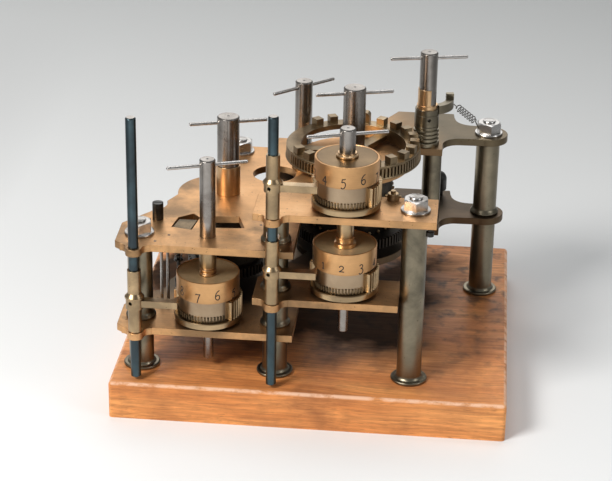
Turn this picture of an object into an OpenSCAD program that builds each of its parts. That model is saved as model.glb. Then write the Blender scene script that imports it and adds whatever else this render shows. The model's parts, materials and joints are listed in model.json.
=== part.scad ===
// Fragment of a difference engine on a wooden base board.
// The origin is the middle of the board's underside, X runs along its front edge,
// Y runs to the back and Z points up. All sizes are in millimetres.

/* [Base board] */
// Length of the board along its front edge
board_l = 343; // [325:1:420]
// Depth of the board from front to back
board_d = 321; // [318:1:400]
// Thickness of the board
board_h = 34.5; // [25:0.5:50]
// Radius of its upright corners and top edges
board_round = 3.5; // [2:0.5:8]

/* [Frame plates] */
// Thickness of every frame plate
plate_t = 6.5; // [5:0.5:9]
// Clear height between a lower plate and the plate above it
plate_gap = 72; // [70:0.5:80]
// Height of the left lower plate above the board
left_rise = 40.5; // [36:0.5:60]
// How much higher the right pair of plates stands than the left pair
right_step = 34; // [30:0.5:38]
// Place of the front edge of all plates
plate_front_y = -145; // [-146:0.5:-142]
// Radius of the round hole in the left upper plate
left_hole_r = 19.5; // [12:0.5:20]

/* [Pillars] */
// Place of the left front pillar along the board
pillar_left_x = -148; // [-149:0.5:-146]
// Distance between two front pillars
pillar_pitch = 117; // [115:0.5:119]
// Place of the front pillars in depth
front_y = -120; // [-121:0.5:-119]
// Diameter of a pillar
pillar_d = 21.5; // [16:0.5:22]
// Diameter of a pillar's foot
foot_d = 31.5; // [28:0.5:34]
// Diameter of the column at the back right
column_d = 17; // [12:0.5:18]
// Distance across the flats of a pillar nut
nut_af = 19; // [17:0.5:20]
// Height of the nut above its washer
nut_h = 12.5; // [8:0.5:14]
// Diameter of a nut's washer
washer_d = 25.5; // [22:0.5:26.5]

/* [Axles] */
// Diameter of the heads of the two front axles
front_head_d = 13.6; // [12:0.1:15]
// Diameter of the heads of the two thick axles
thick_head_d = 19.8; // [18:0.1:21]
// Diameter of the heads of the back axle and the tall axle
back_head_d = 15.8; // [14:0.1:17]
// Diameter of every axle where it runs in the plates
spindle_d = 8.8; // [8:0.1:9.5]
// Height of an axle's top above its upper plate
axle_top = 70.5; // [60:0.5:80]
// Diameter of the cross bars
bar_d = 3.2; // [2.5:0.1:4]
// Length of the cross bars
bar_l = 70; // [60:1:72]
// Turn of most cross bars from the length of the board
bar_turn = 17; // [0:1:90]
// Running clearance of every shaft in its hole, on the radius
run_fit = 0.05; // [0.02:0.01:0.1]

/* [Figure wheels] */
// Height of a figure wheel
wheel_h = 43; // [40:0.5:44]
// Radius of the band that carries the figures
drum_r = 27.2; // [26:0.1:27.2]
// Radius of the flange at the foot of a figure wheel
flange_r = 29.2; // [28:0.1:29.6]
// Height of that flange
flange_h = 5.5; // [4:0.5:5.5]
// Depth of the dish in the top of a lower wheel
dish_depth = 3; // [2:0.5:5]
// Gap under a figure wheel
wheel_lift = 2.5; // [2:0.5:3]

/* [Teeth] */
// Pitch diameter of a toothed wheel for each of its teeth
tooth_module = 1.15; // [1.13:0.01:1.15]
// Teeth of a figure wheel
figure_teeth = 50; // [48:2:50]
// Teeth of the crown wheel
crown_teeth = 102; // [100:2:102]
// Teeth of the small pinion between the crown wheel and the upper wheel
pinion_teeth = 18; // [16:2:18]
// Teeth of the two idlers under the upper plates
idler_teeth = 26; // [24:2:26]
// Teeth of the left adding wheel
left_adding_teeth = 62; // [60:2:62]
// Width of the idlers and adding wheels
gear_w = 9; // [5:0.5:10]

/* [Crown wheel] */
// Inner radius of the crown wheel's ring
crown_inner_r = 46.5; // [42:0.5:48]
// Height of the toothed band of the crown wheel
crown_band_h = 8; // [7:0.5:9]
// Height of the upright blocks on the crown wheel
block_h = 6.5; // [3:0.5:8]
// Width of an upright block
block_w = 7.5; // [5:0.5:9]
// Places for blocks round the crown wheel
block_places = 22; // [18:1:24]

/* [Arm rods] */
// Diameter of the two steel rods with arms
rod_d = 8.8; // [7:0.1:9]
// Diameter of the sleeves on the rods
rod_sleeve_d = 11.6; // [10:0.1:12]
// Diameter of the hubs that clamp the arms
rod_hub_d = 15; // [14:0.5:17]
// How far the rods stand in front of the plates
rod_out = 6.5; // [6.2:0.1:7]
// Reach of an arm from the middle of its rod
arm_l = 37; // [34:0.5:38]

/* [Return spring] */
// Outer diameter of the return spring
spring_d = 6; // [4:0.1:6.5]
// Diameter of its wire
spring_wire = 0.8; // [0.6:0.05:0.9]
// Number of its curls
spring_curls = 11; // [8:1:12]
// Distance between two curls
spring_pitch = 2.2; // [2:0.1:2.3]

/* [Hidden] */
$fn = 96;

// Heights of the plates' undersides and tops
left_low_z = board_h + left_rise;
left_low_top = left_low_z + plate_t;
left_up_z = left_low_top + plate_gap;
left_up_top = left_up_z + plate_t;
right_low_z = left_low_z + right_step;
right_low_top = right_low_z + plate_t;
right_up_z = right_low_top + plate_gap;
right_up_top = right_up_z + plate_t;

// Places of the pillars
pillar_mid_x = pillar_left_x + pillar_pitch;
pillar_right_x = pillar_mid_x + pillar_pitch;
pillar_y = front_y - 1.5;
left_at = [pillar_left_x, pillar_y];
middle_at = [pillar_mid_x, pillar_y];
right_at = [pillar_right_x, pillar_y];
corner_at = [145, 63];
back_at = [-85, 71.5];
column_at = [95, 32];

// Places of the axles: the wheels that mesh set the distances between them
left_front_at = [pillar_left_x + pillar_pitch / 2, front_y];
right_front_at = [pillar_mid_x + pillar_pitch / 2, front_y];
left_lean = 86.8;
middle_lean = 91;
figure_r = tooth_module * figure_teeth / 2;
crown_r = tooth_module * crown_teeth / 2;
pinion_r = tooth_module * pinion_teeth / 2;
idler_r = tooth_module * idler_teeth / 2;
left_adding_r = tooth_module * left_adding_teeth / 2;
middle_reach = figure_r + 2 * pinion_r + crown_r;
left_reach = figure_r + 2 * idler_r + left_adding_r;
// The right adding wheel takes the teeth that the same distance leaves over
right_adding_teeth = crown_teeth + 2 * pinion_teeth - 2 * idler_teeth;
right_adding_r = tooth_module * right_adding_teeth / 2;
left_back_at = left_front_at + left_reach * [cos(left_lean), sin(left_lean)];
middle_axle_at = right_front_at + middle_reach * [cos(middle_lean), sin(middle_lean)];
left_idler_at = left_front_at + (figure_r + idler_r) * [cos(left_lean), sin(left_lean)];
right_idler_at = right_front_at + (figure_r + idler_r) * [cos(middle_lean), sin(middle_lean)];
pinion_at = right_front_at + (figure_r + pinion_r) * [cos(middle_lean), sin(middle_lean)];
back_axle_at = [-24, 42];
// The tall axle stands just clear of the crown wheel
crown_lip = 1.5;
stack_r = 12.2;
tall_gap = 3.2;
tall_at = middle_axle_at + (crown_r + crown_lip + stack_r + tall_gap) * [cos(34), sin(34)];

// Shape of the teeth
addendum = 0.8 * tooth_module;
dedendum = 1.1 * tooth_module;
tooth_pitch = PI * tooth_module;
broad_tip_w = 0.54 * tooth_pitch;
broad_root_w = 0.64 * tooth_pitch;
slim_tip_w = 0.14 * tooth_pitch;
slim_root_w = 0.34 * tooth_pitch;

// Heights in a figure wheel, from its foot
wheel_teeth_z = flange_h + 0.5;
wheel_guard_z = 12;
wheel_teeth_top = 22.5;
guard_from = 215;
guard_to = 325;
dish_rim = 1.4;
dish_floor_r = 10.5;
guard_r = 25;
wheel_bore_r = spindle_d / 2 + run_fit;
left_wheel_z = left_low_top + wheel_lift;
lower_wheel_z = right_low_top + wheel_lift;
upper_wheel_z = right_up_top + wheel_lift;

// Heights of the wheels that mesh
left_gear_z = left_wheel_z + wheel_teeth_z + 1;
right_gear_z = lower_wheel_z + wheel_teeth_z + 1;
crown_z = right_up_top + 1.5;
crown_flange_h = 2;
crown_rim_h = 2;
crown_band_z = crown_z + crown_flange_h;
crown_rim_z = crown_band_z + crown_band_h;
crown_top_z = crown_rim_z + crown_rim_h;
pinion_z = upper_wheel_z + flange_h + 0.4;
pinion_top = crown_rim_z - 0.3;
smooth_from = 146;
smooth_to = 207;
block_start = 131;
web_h = 4;

// Axles
left_front_top = left_up_top + axle_top;
right_front_top = right_up_top + axle_top;
left_back_top = left_up_top + axle_top + 2.5;
middle_top = right_up_top + axle_top - 4;
back_top = left_up_top + axle_top + 14;
bar_drop = 5.7;
spindle_out = 12;
front_spindle_out = 32;
back_spindle_out = 9;
collar_h = 3.5;
front_collar_d = 15;
front_sleeve_d = 14.8;
wide_collar_d = 19;
bearing_sleeve_h = 27;
boss_h = 12;

// Tall axle and its lever
stack_h = 19;
tall_hub_h = 10.5;
tall_ring_h = 5.3;
tall_collar_h = 3.5;
half_sleeve_h = 15;
tall_top_z = right_up_top + axle_top + 17;
tall_hub_z = right_up_top + stack_h;
tall_lever_z = tall_hub_z + tall_hub_h;
tall_collar_z = tall_lever_z + tall_ring_h;
tall_hub_r = 11;
lever_bow = 18;
lever_r = 20;
lever_from = -62;
lever_to = 17;
lever_h = 8;
lever_w = 7;

// Arm rods
rod_y = plate_front_y - rod_out;
rod_left_at = [pillar_left_x, rod_y];
rod_middle_at = [pillar_mid_x, rod_y];
rod_lift = 4;
rod_left_top = 276.7;
rod_middle_top = 283.8;
lug_r = rod_sleeve_d / 2 + 1.2;
arm_h = 6.2;
arm_w = 8;
arm_tip_gap = 0.5;

// Return spring, from the lever's tip to the corner nut
nut_eye_z = right_up_top + 4.5;
spring_aim_z = right_up_top + 9;
spring_side_count = 6;
spring_rings = 8;

function polar(r, a) = [r * cos(a), r * sin(a)];

// Outline of a toothed wheel with straight flanks. The first tooth points along turn.
// Wheels have broad teeth, and the pinion and idlers between them have slim ones.
function gear_outline(teeth, turn, broad = true) = let (
  r = tooth_module * teeth / 2,
  tip = r + addendum,
  root = r - dedendum,
  half_tip = asin((broad ? broad_tip_w : slim_tip_w) / 2 / tip),
  half_root = asin((broad ? broad_root_w : slim_root_w) / 2 / root)
) [
  for (i = [0 : teeth - 1]) let (a = turn + i * 360 / teeth)
    each [polar(root, a - half_root), polar(tip, a - half_tip),
          polar(tip, a + half_tip), polar(root, a + half_root)]
];

module at(p, z = 0) {
  translate([p[0], p[1], z]) children();
}

module disc(r, z0, z1) {
  translate([0, 0, z0]) cylinder(r = r, h = z1 - z0);
}

module tube(r_out, r_in, z0, z1) {
  difference() {
    disc(r_out, z0, z1);
    disc(r_in, z0 - 1, z1 + 1);
  }
}

module sector_2d(r, from, to) {
  step = (to - from) / 6;
  polygon(concat([[0, 0]], [for (i = [0 : 6]) polar(r * 1.2, from + i * step)]));
}

// A board with rounded upright corners and rounded top edges
module base_board() {
  r = board_round;
  lx = board_l / 2 - r;
  ly = board_d / 2 - r;
  color("sienna") {
    translate([-lx, -ly, 0]) cube([2 * lx, 2 * ly, board_h]);
    translate([-lx - r, -ly, 0]) cube([2 * lx + 2 * r, 2 * ly, board_h - r]);
    translate([-lx, -ly - r, 0]) cube([2 * lx, 2 * ly + 2 * r, board_h - r]);
    for (sx = [-1, 1], sy = [-1, 1]) translate([sx * lx, sy * ly, 0]) {
      cylinder(r = r, h = board_h - r);
      translate([0, 0, board_h - r]) sphere(r);
    }
    for (sy = [-1, 1]) translate([-lx, sy * ly, board_h - r])
      rotate([0, 90, 0]) cylinder(r = r, h = 2 * lx);
    for (sx = [-1, 1]) translate([sx * lx, ly, board_h - r])
      rotate([90, 0, 0]) cylinder(r = r, h = 2 * ly);
  }
}

// Lug on the front edge that guides an arm rod, with a hollow curve on each side
module lug_2d(p) {
  foot = plate_front_y + 0.1;
  flare = 6;
  translate(p) circle(lug_r);
  difference() {
    translate([p[0] - lug_r - flare, rod_y]) square([2 * (lug_r + flare), foot - rod_y]);
    for (s = [-1, 1]) translate([p[0] + s * (lug_r + flare), rod_y]) circle(flare);
  }
}

module hole_2d(p, r) {
  translate(p) circle(r);
}

left_edge_x = pillar_left_x - 19.5;
left_plate_end_x = pillar_mid_x + 17;
lobe_r = 40;

// Outline shared by the two left plates, with the lug of the left rod
module left_outline_2d() {
  difference() {
    union() {
      translate(left_back_at - [5, 0]) circle(lobe_r);
      translate(back_at) circle(14);
      translate(back_axle_at) circle(18);
      polygon([
        [left_edge_x + 1.6, plate_front_y + 5], [left_edge_x + 8, plate_front_y],
        [left_plate_end_x, plate_front_y], [left_plate_end_x, -10],
        [back_axle_at[0] + 18, back_axle_at[1]], [back_axle_at[0] + 14, 98],
        [-30, 111], [-53.5, 111], [-53.5, back_at[1] + 14],
        [back_at[0], back_at[1] + 14], [back_at[0] - 13, back_at[1] - 5],
        [left_back_at[0] - 30, left_back_at[1] + 31],
        [left_back_at[0] - 44, left_back_at[1] - 10], [-146, -76], [left_edge_x + 1, -103]
      ]);
      lug_2d(rod_left_at);
    }
    translate([-150, -58]) circle(16);
  }
}

module upper_left_plate() {
  color("peru") translate([0, 0, left_up_z]) linear_extrude(plate_t) difference() {
    left_outline_2d();
    hole_2d([-48, 22], left_hole_r);
    hole_2d(rod_left_at, rod_d / 2 + run_fit);
    hole_2d(left_front_at, front_head_d / 2 + run_fit);
    hole_2d(left_back_at, spindle_d / 2 + run_fit);
    hole_2d(back_axle_at, spindle_d / 2 + run_fit);
    polygon([[-93, -104], [-60.5, -101], [-68, -77], [-93, -80]]);
    polygon([[-123, -106], [-105, -110], [-101.5, -84], [-108, -76], [-120, -86]]);
  }
}

module lower_left_plate() {
  color("peru") translate([0, 0, left_low_z]) linear_extrude(plate_t) difference() {
    left_outline_2d();
    hole_2d(rod_left_at, rod_d / 2 + run_fit);
    hole_2d(left_front_at, spindle_d / 2 + run_fit);
    hole_2d(left_back_at, spindle_d / 2 + run_fit);
    hole_2d(back_axle_at, spindle_d / 2 + run_fit);
  }
}

bracket_r = 17.5;
bracket_edge_x = 104;
right_edge_x = 104.5;
lower_right_edge_x = 75;
strip_back_y = -96;
platform_r = 50;

// Arm that carries the corner pillar and the tall axle, with hollow curves at its root
module bracket_2d() {
  front = corner_at[1] - bracket_r;
  back = corner_at[1] + bracket_r;
  translate(corner_at) circle(bracket_r);
  difference() {
    polygon([
      [20, 6], [66, 17], [bracket_edge_x, 17], [bracket_edge_x, 30],
      [bracket_edge_x + 15.5, front], [corner_at[0] + 1, front + 1],
      [corner_at[0] + 1, back - 1], [130, back], [113, 97], [112, 108], [60, 108], [50, 88]
    ]);
    translate([130, back + 16.5]) circle(16.5);
    translate([bracket_edge_x + 15.5, 30]) circle(15.5);
  }
}

module right_outline_2d(edge_x) {
  start_x = pillar_mid_x - 17.5;
  polygon([
    [start_x, plate_front_y], [edge_x, plate_front_y], [edge_x, strip_back_y],
    [middle_axle_at[0] + 30, strip_back_y], [middle_axle_at[0], middle_axle_at[1]],
    [middle_axle_at[0] - 36, middle_axle_at[1] - 34],
    [pillar_mid_x - 9, front_y + 25], [start_x, front_y + 17]
  ]);
  translate(middle_axle_at) circle(platform_r);
  bracket_2d();
  lug_2d(rod_middle_at);
}

module upper_right_plate() {
  color("peru") translate([0, 0, right_up_z]) linear_extrude(plate_t) difference() {
    right_outline_2d(right_edge_x);
    hole_2d(rod_middle_at, rod_d / 2 + run_fit);
    hole_2d(right_front_at, spindle_d / 2 + run_fit);
    hole_2d(middle_axle_at, spindle_d / 2 + run_fit);
    hole_2d(tall_at, back_head_d / 2 + run_fit);
  }
}

module lower_right_plate() {
  color("peru") translate([0, 0, right_low_z]) linear_extrude(plate_t) difference() {
    right_outline_2d(lower_right_edge_x);
    hole_2d(rod_middle_at, rod_d / 2 + run_fit);
    hole_2d(right_front_at, spindle_d / 2 + run_fit);
    hole_2d(middle_axle_at, spindle_d / 2 + run_fit);
  }
}

// One length of pillar between two faces, with a turned flange at its foot
module pillar_length(z0, z1, flange_d) {
  flange_t = min(3, (z1 - z0) / 6);
  neck = min(3, (z1 - z0) / 6);
  r = pillar_d / 2;
  translate([0, 0, z0]) rotate_extrude() polygon([
    [0, 0], [flange_d / 2 - 0.8, 0], [flange_d / 2, 0.8], [flange_d / 2, flange_t - 0.8],
    [flange_d / 2 - 0.8, flange_t], [r + 1.8, flange_t], [r + 0.7, flange_t + neck * 0.4],
    [r, flange_t + neck], [r, z1 - z0], [0, z1 - z0]
  ]);
}

upper_flange_d = 26;

module pillar_left() {
  color("darkkhaki") at(left_at) {
    pillar_length(board_h, left_low_z, foot_d);
    pillar_length(left_low_top, left_up_z, upper_flange_d);
  }
}

module pillar_middle() {
  color("darkkhaki") at(middle_at) {
    pillar_length(board_h, left_low_z, foot_d);
    pillar_length(left_low_top, right_low_z, upper_flange_d);
    pillar_length(right_low_top, left_up_z, upper_flange_d);
    pillar_length(left_up_top, right_up_z, upper_flange_d);
  }
}

module pillar_right() {
  color("darkkhaki") at(right_at) pillar_length(board_h, right_up_z, foot_d);
}

module pillar_corner() {
  color("darkkhaki") at(corner_at) {
    pillar_length(board_h, right_low_z, foot_d);
    pillar_length(right_low_top, right_up_z, upper_flange_d);
  }
}

module pillar_back() {
  color("darkkhaki") at(back_at) {
    pillar_length(board_h, left_low_z, foot_d);
    pillar_length(left_low_top, left_up_z, upper_flange_d);
  }
}

module back_column() {
  color("darkkhaki") at(column_at) disc(column_d / 2, right_low_top, right_up_z);
}

// Hexagon nut with a domed top, on a washer, with the end of its stud
module nut(turn) {
  washer_h = 3;
  across = nut_af / cos(30);
  rotate(turn) {
    cylinder(d = washer_d, h = washer_h);
    intersection() {
      translate([0, 0, washer_h - 0.5]) linear_extrude(nut_h - 2) polygon([
        for (i = [0 : 5]) polar(across / 2, i * 60)
      ]);
      translate([0, 0, nut_h + 1 - across * 0.85]) sphere(r = across * 0.85);
    }
    translate([0, 0, nut_h - 1]) cylinder(r = 6.6, h = 2.3);
    translate([0, 0, nut_h + 1.3]) cylinder(r1 = 5.4, r2 = 4.4, h = 1.2);
  }
}

module pillar_nuts() {
  color("silver") {
    at(left_at, left_up_top) nut(10);
    at(back_at, left_up_top) nut(0);
    at(middle_at, right_up_top) nut(20);
    at(right_at, right_up_top) nut(30);
    at(corner_at, right_up_top) nut(40);
  }
}

// Slotted steel post behind the left front pillar
module screw_post() {
  post_d = 9.6;
  post_h = 15.5;
  color("dimgray") at([-137, -91], left_up_top) difference() {
    cylinder(d = post_d, h = post_h);
    translate([-post_d, -0.6, post_h - 2]) cube([2 * post_d, 1.2, 3]);
  }
}

detent_foot_z = left_up_z - 4;

// Block that shows in the left window of the left upper plate, hung from its underside
module detent_block() {
  color("goldenrod") {
    translate([0, 0, detent_foot_z]) linear_extrude(left_up_z - detent_foot_z)
      polygon([[-127, -103], [-103, -115], [-98, -82], [-107, -70], [-124, -84]]);
    translate([0, 0, left_up_z - 1]) linear_extrude(plate_t + 0.5)
      polygon([[-121.8, -105.2], [-106, -108.8], [-102.9, -88], [-118.8, -88]]);
  }
}

// Small bush with a cross pin on the right upper plate
module stop_bush() {
  bush_h = 6;
  color("peru") at([66, -101], right_up_top) {
    cylinder(r1 = 5.5, r2 = 4.5, h = bush_h);
    translate([0, 0, bush_h]) cylinder(r = 2.2, h = 2.5);
    translate([-7, 0, bush_h / 2]) rotate([0, 90, 0]) cylinder(r = 1, h = 14);
  }
}

module corner_screw() {
  color("dimgray") at([99, -137], right_up_z - 9) {
    cylinder(r = 2, h = 9);
    cylinder(r = 3.4, h = 4);
  }
}

// Post with a rounded head behind the back column
module roller_post() {
  head_r = 8;
  color("dimgray") at([100.5, 98], right_low_top) {
    cylinder(r = 5, h = 6);
    translate([0, 0, 6]) cylinder(r = head_r, h = 10);
    translate([0, 0, 16]) intersection() {
      sphere(head_r);
      cylinder(r = head_r, h = head_r);
    }
  }
}

module guide_rods() {
  color("silver") for (p = [[-133.5, -97], [-128.5, -94]])
    at(p) disc(1.3, left_low_top, left_up_z);
}

plunger_at = [-119, -94];
plunger_seat_z = left_up_z - 29;
plunger_rod_r = 1.5;

// Spring plunger between the left plates: a post, a knob and a thin rod
module plunger_stud() {
  knob_z = left_low_top + 20;
  color("dimgray") at(plunger_at) disc(3.2, left_low_top, knob_z);
  color("peru") at(plunger_at, knob_z) difference() {
    translate([0, 0, 2.6]) sphere(3.6);
    translate([-5, -5, -2]) cube([10, 10, 2]);
  }
  color("silver") at(plunger_at) disc(plunger_rod_r, knob_z + 5, detent_foot_z);
  color("silver") at(plunger_at) tube(4, plunger_rod_r, plunger_seat_z - 1.5, plunger_seat_z);
}

// Rings of a tube that follows points, each ring square to the path
function unit(v) = v / norm(v);
function ring_points(p, dir, ref, r, sides) = let (
  d = unit(dir),
  u = unit(ref - (ref * d) * d),
  v = cross(d, u)
) [for (k = [0 : sides - 1]) p + r * (cos(k * 360 / sides) * u + sin(k * 360 / sides) * v)];

function path_dir(pts, i) = i == 0 ? pts[1] - pts[0]
  : i == len(pts) - 1 ? pts[i] - pts[i - 1] : pts[i + 1] - pts[i - 1];

module wire(pts, refs, r, sides) {
  n = len(pts);
  verts = [for (i = [0 : n - 1])
    each ring_points(pts[i], path_dir(pts, i), refs[i], r, sides)];
  walls = [for (i = [0 : n - 2], k = [0 : sides - 1]) let (
    a = i * sides + k, b = i * sides + (k + 1) % sides
  ) each [[a, b, a + sides], [b, b + sides, a + sides]]];
  last = (n - 1) * sides;
  caps = concat(
    [for (k = [1 : sides - 2]) [0, k + 1, k]],
    [for (k = [1 : sides - 2]) [last, last + k, last + k + 1]]
  );
  polyhedron(points = verts, faces = concat(walls, caps));
}

// Least distance between curls of a path, less the wire's thickness
function least_gap(pts, r, skip) = min([
  for (i = [0 : len(pts) - 1 - skip], j = [i + skip : len(pts) - 1]) norm(pts[i] - pts[j])
]) - 2 * r;

plunger_wire_r = 0.5;
plunger_coil_r = 3;
plunger_curls = 8;
plunger_low = plunger_seat_z + plunger_wire_r;
plunger_rise = detent_foot_z - plunger_wire_r - plunger_low;
plunger_count = plunger_curls * spring_rings;
plunger_refs = [
  for (i = [0 : plunger_count]) let (a = i * 360 / spring_rings) [cos(a), sin(a), 0]
];
plunger_path = [
  for (i = [0 : plunger_count]) plunger_coil_r * plunger_refs[i]
    + [plunger_at[0], plunger_at[1], plunger_low + plunger_rise * i / plunger_count]
];
echo("Plunger spring, least gap to itself:",
  least_gap(plunger_path, plunger_wire_r, spring_rings / 2 + 1));

module plunger_spring() {
  color("gray") wire(plunger_path, plunger_refs, plunger_wire_r, spring_side_count);
}

// Sleeve on the left upper plate that carries the left back axle
module left_bearing_sleeve() {
  r = 10.7;
  color("peru") at(left_back_at) difference() {
    disc(r, left_up_top, left_up_top + bearing_sleeve_h);
    disc(spindle_d / 2 + run_fit, left_up_top - 1, left_up_top + bearing_sleeve_h + 1);
  }
}

module back_bearing_boss() {
  color("peru") at(back_axle_at)
    tube(10, spindle_d / 2 + run_fit, left_up_top, left_up_top + boss_h);
}

// Stack of turned rings on the right upper plate that carries the tall axle
module tall_bearing_stack() {
  top = stack_h - 0.3;
  bore = back_head_d / 2 + run_fit;
  wide = 11.6;
  neck = 10.2;
  color("darkkhaki") at(tall_at, right_up_top) rotate_extrude() polygon([
    [bore, 0], [stack_r, 0], [stack_r, 3.5], [wide, 4], [neck, 4.4], [neck, 5.2], [wide, 5.6],
    [wide, 7.6], [neck, 8], [neck, 8.8], [wide, 9.2], [wide, 11.2], [neck, 11.6],
    [neck, 12.4], [wide, 12.8], [wide, 15], [neck, 15.4], [neck, 16.2], [11, 16.6],
    [11, top], [bore, top]
  ]);
}

stud_r = 4;

// Stud with a shoulder below its wheel and a cap above it
module stud(z0, gear_low, gear_top) {
  disc(6, z0, gear_low - 0.3);
  disc(stud_r, gear_low - 0.3, gear_top + 0.3);
  disc(5.2, gear_top + 0.3, gear_top + 1.8);
}

module idler_studs() {
  color("dimgray") {
    at(left_idler_at) stud(left_low_top, left_gear_z, left_gear_z + gear_w);
    at(right_idler_at) stud(right_low_top, right_gear_z, right_gear_z + gear_w);
    at(pinion_at) stud(right_up_top, pinion_z, pinion_top);
  }
}

// Axle with a thicker head, bored across for its bar
module axle(head_r, end_z, head_z, top_z, turn) {
  bevel = 1;
  r = spindle_d / 2;
  difference() {
    union() {
      disc(r, end_z + bevel, head_z);
      translate([0, 0, end_z]) cylinder(r1 = r - bevel, r2 = r, h = bevel);
      disc(head_r, head_z, top_z - bevel);
      translate([0, 0, top_z - bevel]) cylinder(r1 = head_r, r2 = head_r - bevel, h = bevel);
    }
    translate([0, 0, top_z - bar_drop]) rotate([0, 0, turn]) rotate([0, 90, 0])
      cylinder(d = bar_d, h = 3 * head_r, center = true);
  }
}

module bar(p, top_z, turn) {
  tip = 1.2;
  r = bar_d / 2;
  color("gainsboro") at(p, top_z - bar_drop) rotate([0, 0, turn]) rotate([0, 90, 0]) {
    cylinder(r = r, h = bar_l - 2 * tip, center = true);
    for (s = [0, 1]) mirror([0, 0, s]) translate([0, 0, bar_l / 2 - tip])
      cylinder(r1 = r, r2 = r * 0.5, h = tip);
  }
}

module axle_left_front() {
  color("gray") at(left_front_at) axle(front_head_d / 2, left_low_z - front_spindle_out,
    left_up_z - 0.3, left_front_top, bar_turn + 2);
}

module bar_left_front() {
  bar(left_front_at, left_front_top, bar_turn + 2);
}

left_collar_z = left_wheel_z + wheel_h - dish_depth + 0.3;
left_collar_h = 7.5;

module sleeve_left_front() {
  color("peru") at(left_front_at)
    tube(front_sleeve_d / 2, spindle_d / 2, left_collar_z + left_collar_h, left_up_z - 0.3);
}

// Small turned collar in the dish of the left wheel, flared at its foot
module collar_left_front() {
  r = front_collar_d / 2;
  bore = spindle_d / 2;
  color("silver") at(left_front_at, left_collar_z) rotate_extrude() polygon([
    [bore, 0], [r, 0], [r, 1.2], [r - 1.2, 2.2], [r - 1.2, 3.4], [r - 0.2, 4.2],
    [r - 0.2, 5.4], [r - 1.2, 6.2], [r - 1.2, left_collar_h], [bore, left_collar_h]
  ]);
}

// Figure wheel: a flange, a toothed band with a smooth front, and the band of figures.
// The teeth start along turn. A dished wheel has a rim round its top, the other one a cap.
module figure_wheel(turn, dished) {
  root = figure_r - dedendum;
  core = root - 0.15;
  r = drum_r;
  top = dished ? [
    [r, wheel_h - 0.4], [r - 0.4, wheel_h], [r - dish_rim, wheel_h],
    [dish_floor_r, wheel_h - dish_depth], [wheel_bore_r, wheel_h - dish_depth]
  ] : [
    [r, wheel_h - 3.4], [r - 0.7, wheel_h - 3.4], [r - 0.7, wheel_h - 2.8],
    [r, wheel_h - 2.8], [r, wheel_h - 0.4], [r - 0.4, wheel_h], [wheel_bore_r, wheel_h]
  ];
  difference() {
    rotate_extrude() polygon(concat([
      [wheel_bore_r, 0], [flange_r - 0.5, 0], [flange_r, 0.5], [flange_r, flange_h - 0.5],
      [flange_r - 0.5, flange_h], [core - 1, flange_h], [core - 1, wheel_teeth_z],
      [core, wheel_teeth_z], [core, wheel_teeth_top], [r - 1.2, wheel_teeth_top],
      [r - 1.2, wheel_teeth_top + 2], [r, wheel_teeth_top + 2]
    ], top));
    translate([0, 0, wheel_guard_z]) linear_extrude(wheel_teeth_top + 1.6 - wheel_guard_z)
      difference() {
        sector_2d(figure_r, guard_from, guard_to);
        circle(guard_r);
      }
  }
  translate([0, 0, wheel_teeth_z]) linear_extrude(wheel_guard_z - wheel_teeth_z) difference() {
    polygon(gear_outline(figure_teeth, turn));
    circle(core - 4);
  }
  translate([0, 0, wheel_guard_z]) linear_extrude(wheel_teeth_top - wheel_guard_z) difference() {
    polygon(gear_outline(figure_teeth, turn));
    circle(core - 4);
    sector_2d(figure_r, guard_from, guard_to);
  }
}

module figure_wheel_left() {
  color("burlywood") at(left_front_at, left_wheel_z) figure_wheel(left_lean, true);
}

module figure_wheel_upper() {
  color("burlywood") at(right_front_at, upper_wheel_z) figure_wheel(middle_lean, false);
}

module figure_wheel_lower() {
  color("burlywood") at(right_front_at, lower_wheel_z) figure_wheel(middle_lean, true);
}

module axle_left_back() {
  color("gray") at(left_back_at) axle(thick_head_d / 2, left_low_z - back_spindle_out,
    left_up_top + bearing_sleeve_h + 0.3, left_back_top, bar_turn);
}

module bar_left_back() {
  bar(left_back_at, left_back_top, bar_turn);
}

// Toothed wheel with a plain drum on top
module adding_wheel(teeth, turn, drum, drum_h) {
  linear_extrude(gear_w) difference() {
    polygon(gear_outline(teeth, turn));
    circle(spindle_d / 2);
  }
  tube(drum, spindle_d / 2, gear_w - 0.5, drum_h);
}

drum_gap = 4;

module adding_wheel_left() {
  color("goldenrod") at(left_back_at, left_gear_z)
    adding_wheel(left_adding_teeth, left_lean + 180, 30, left_up_z - drum_gap - left_gear_z);
}

module adding_wheel_right() {
  color("goldenrod") at(middle_axle_at, right_gear_z)
    adding_wheel(right_adding_teeth, middle_lean + 180, 36, right_up_z - drum_gap - right_gear_z);
}

module small_gear(teeth, turn, h) {
  linear_extrude(h) difference() {
    polygon(gear_outline(teeth, turn, false));
    circle(stud_r + run_fit);
  }
}

module idler_left() {
  color("goldenrod") at(left_idler_at, left_gear_z)
    small_gear(idler_teeth, left_lean + 180 / idler_teeth, gear_w);
}

module idler_right() {
  color("goldenrod") at(right_idler_at, right_gear_z)
    small_gear(idler_teeth, middle_lean + 180 / idler_teeth, gear_w);
}

module pinion_upper() {
  color("goldenrod") at(pinion_at, pinion_z)
    small_gear(pinion_teeth, middle_lean + 180 / pinion_teeth, pinion_top - pinion_z);
}

upper_collar_z = upper_wheel_z + wheel_h + 0.3;
lower_collar_z = lower_wheel_z + wheel_h - dish_depth + 0.3;
lower_collar_top = lower_wheel_z + wheel_h + 6;

module axle_right_front() {
  color("gray") at(right_front_at) axle(front_head_d / 2, right_low_z - front_spindle_out,
    upper_collar_z + collar_h, right_front_top, bar_turn);
}

module bar_right_front() {
  bar(right_front_at, right_front_top, bar_turn);
}

module sleeve_right_front() {
  color("peru") at(right_front_at)
    tube(7.2, spindle_d / 2, lower_collar_top, right_up_z - 0.3);
}

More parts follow.
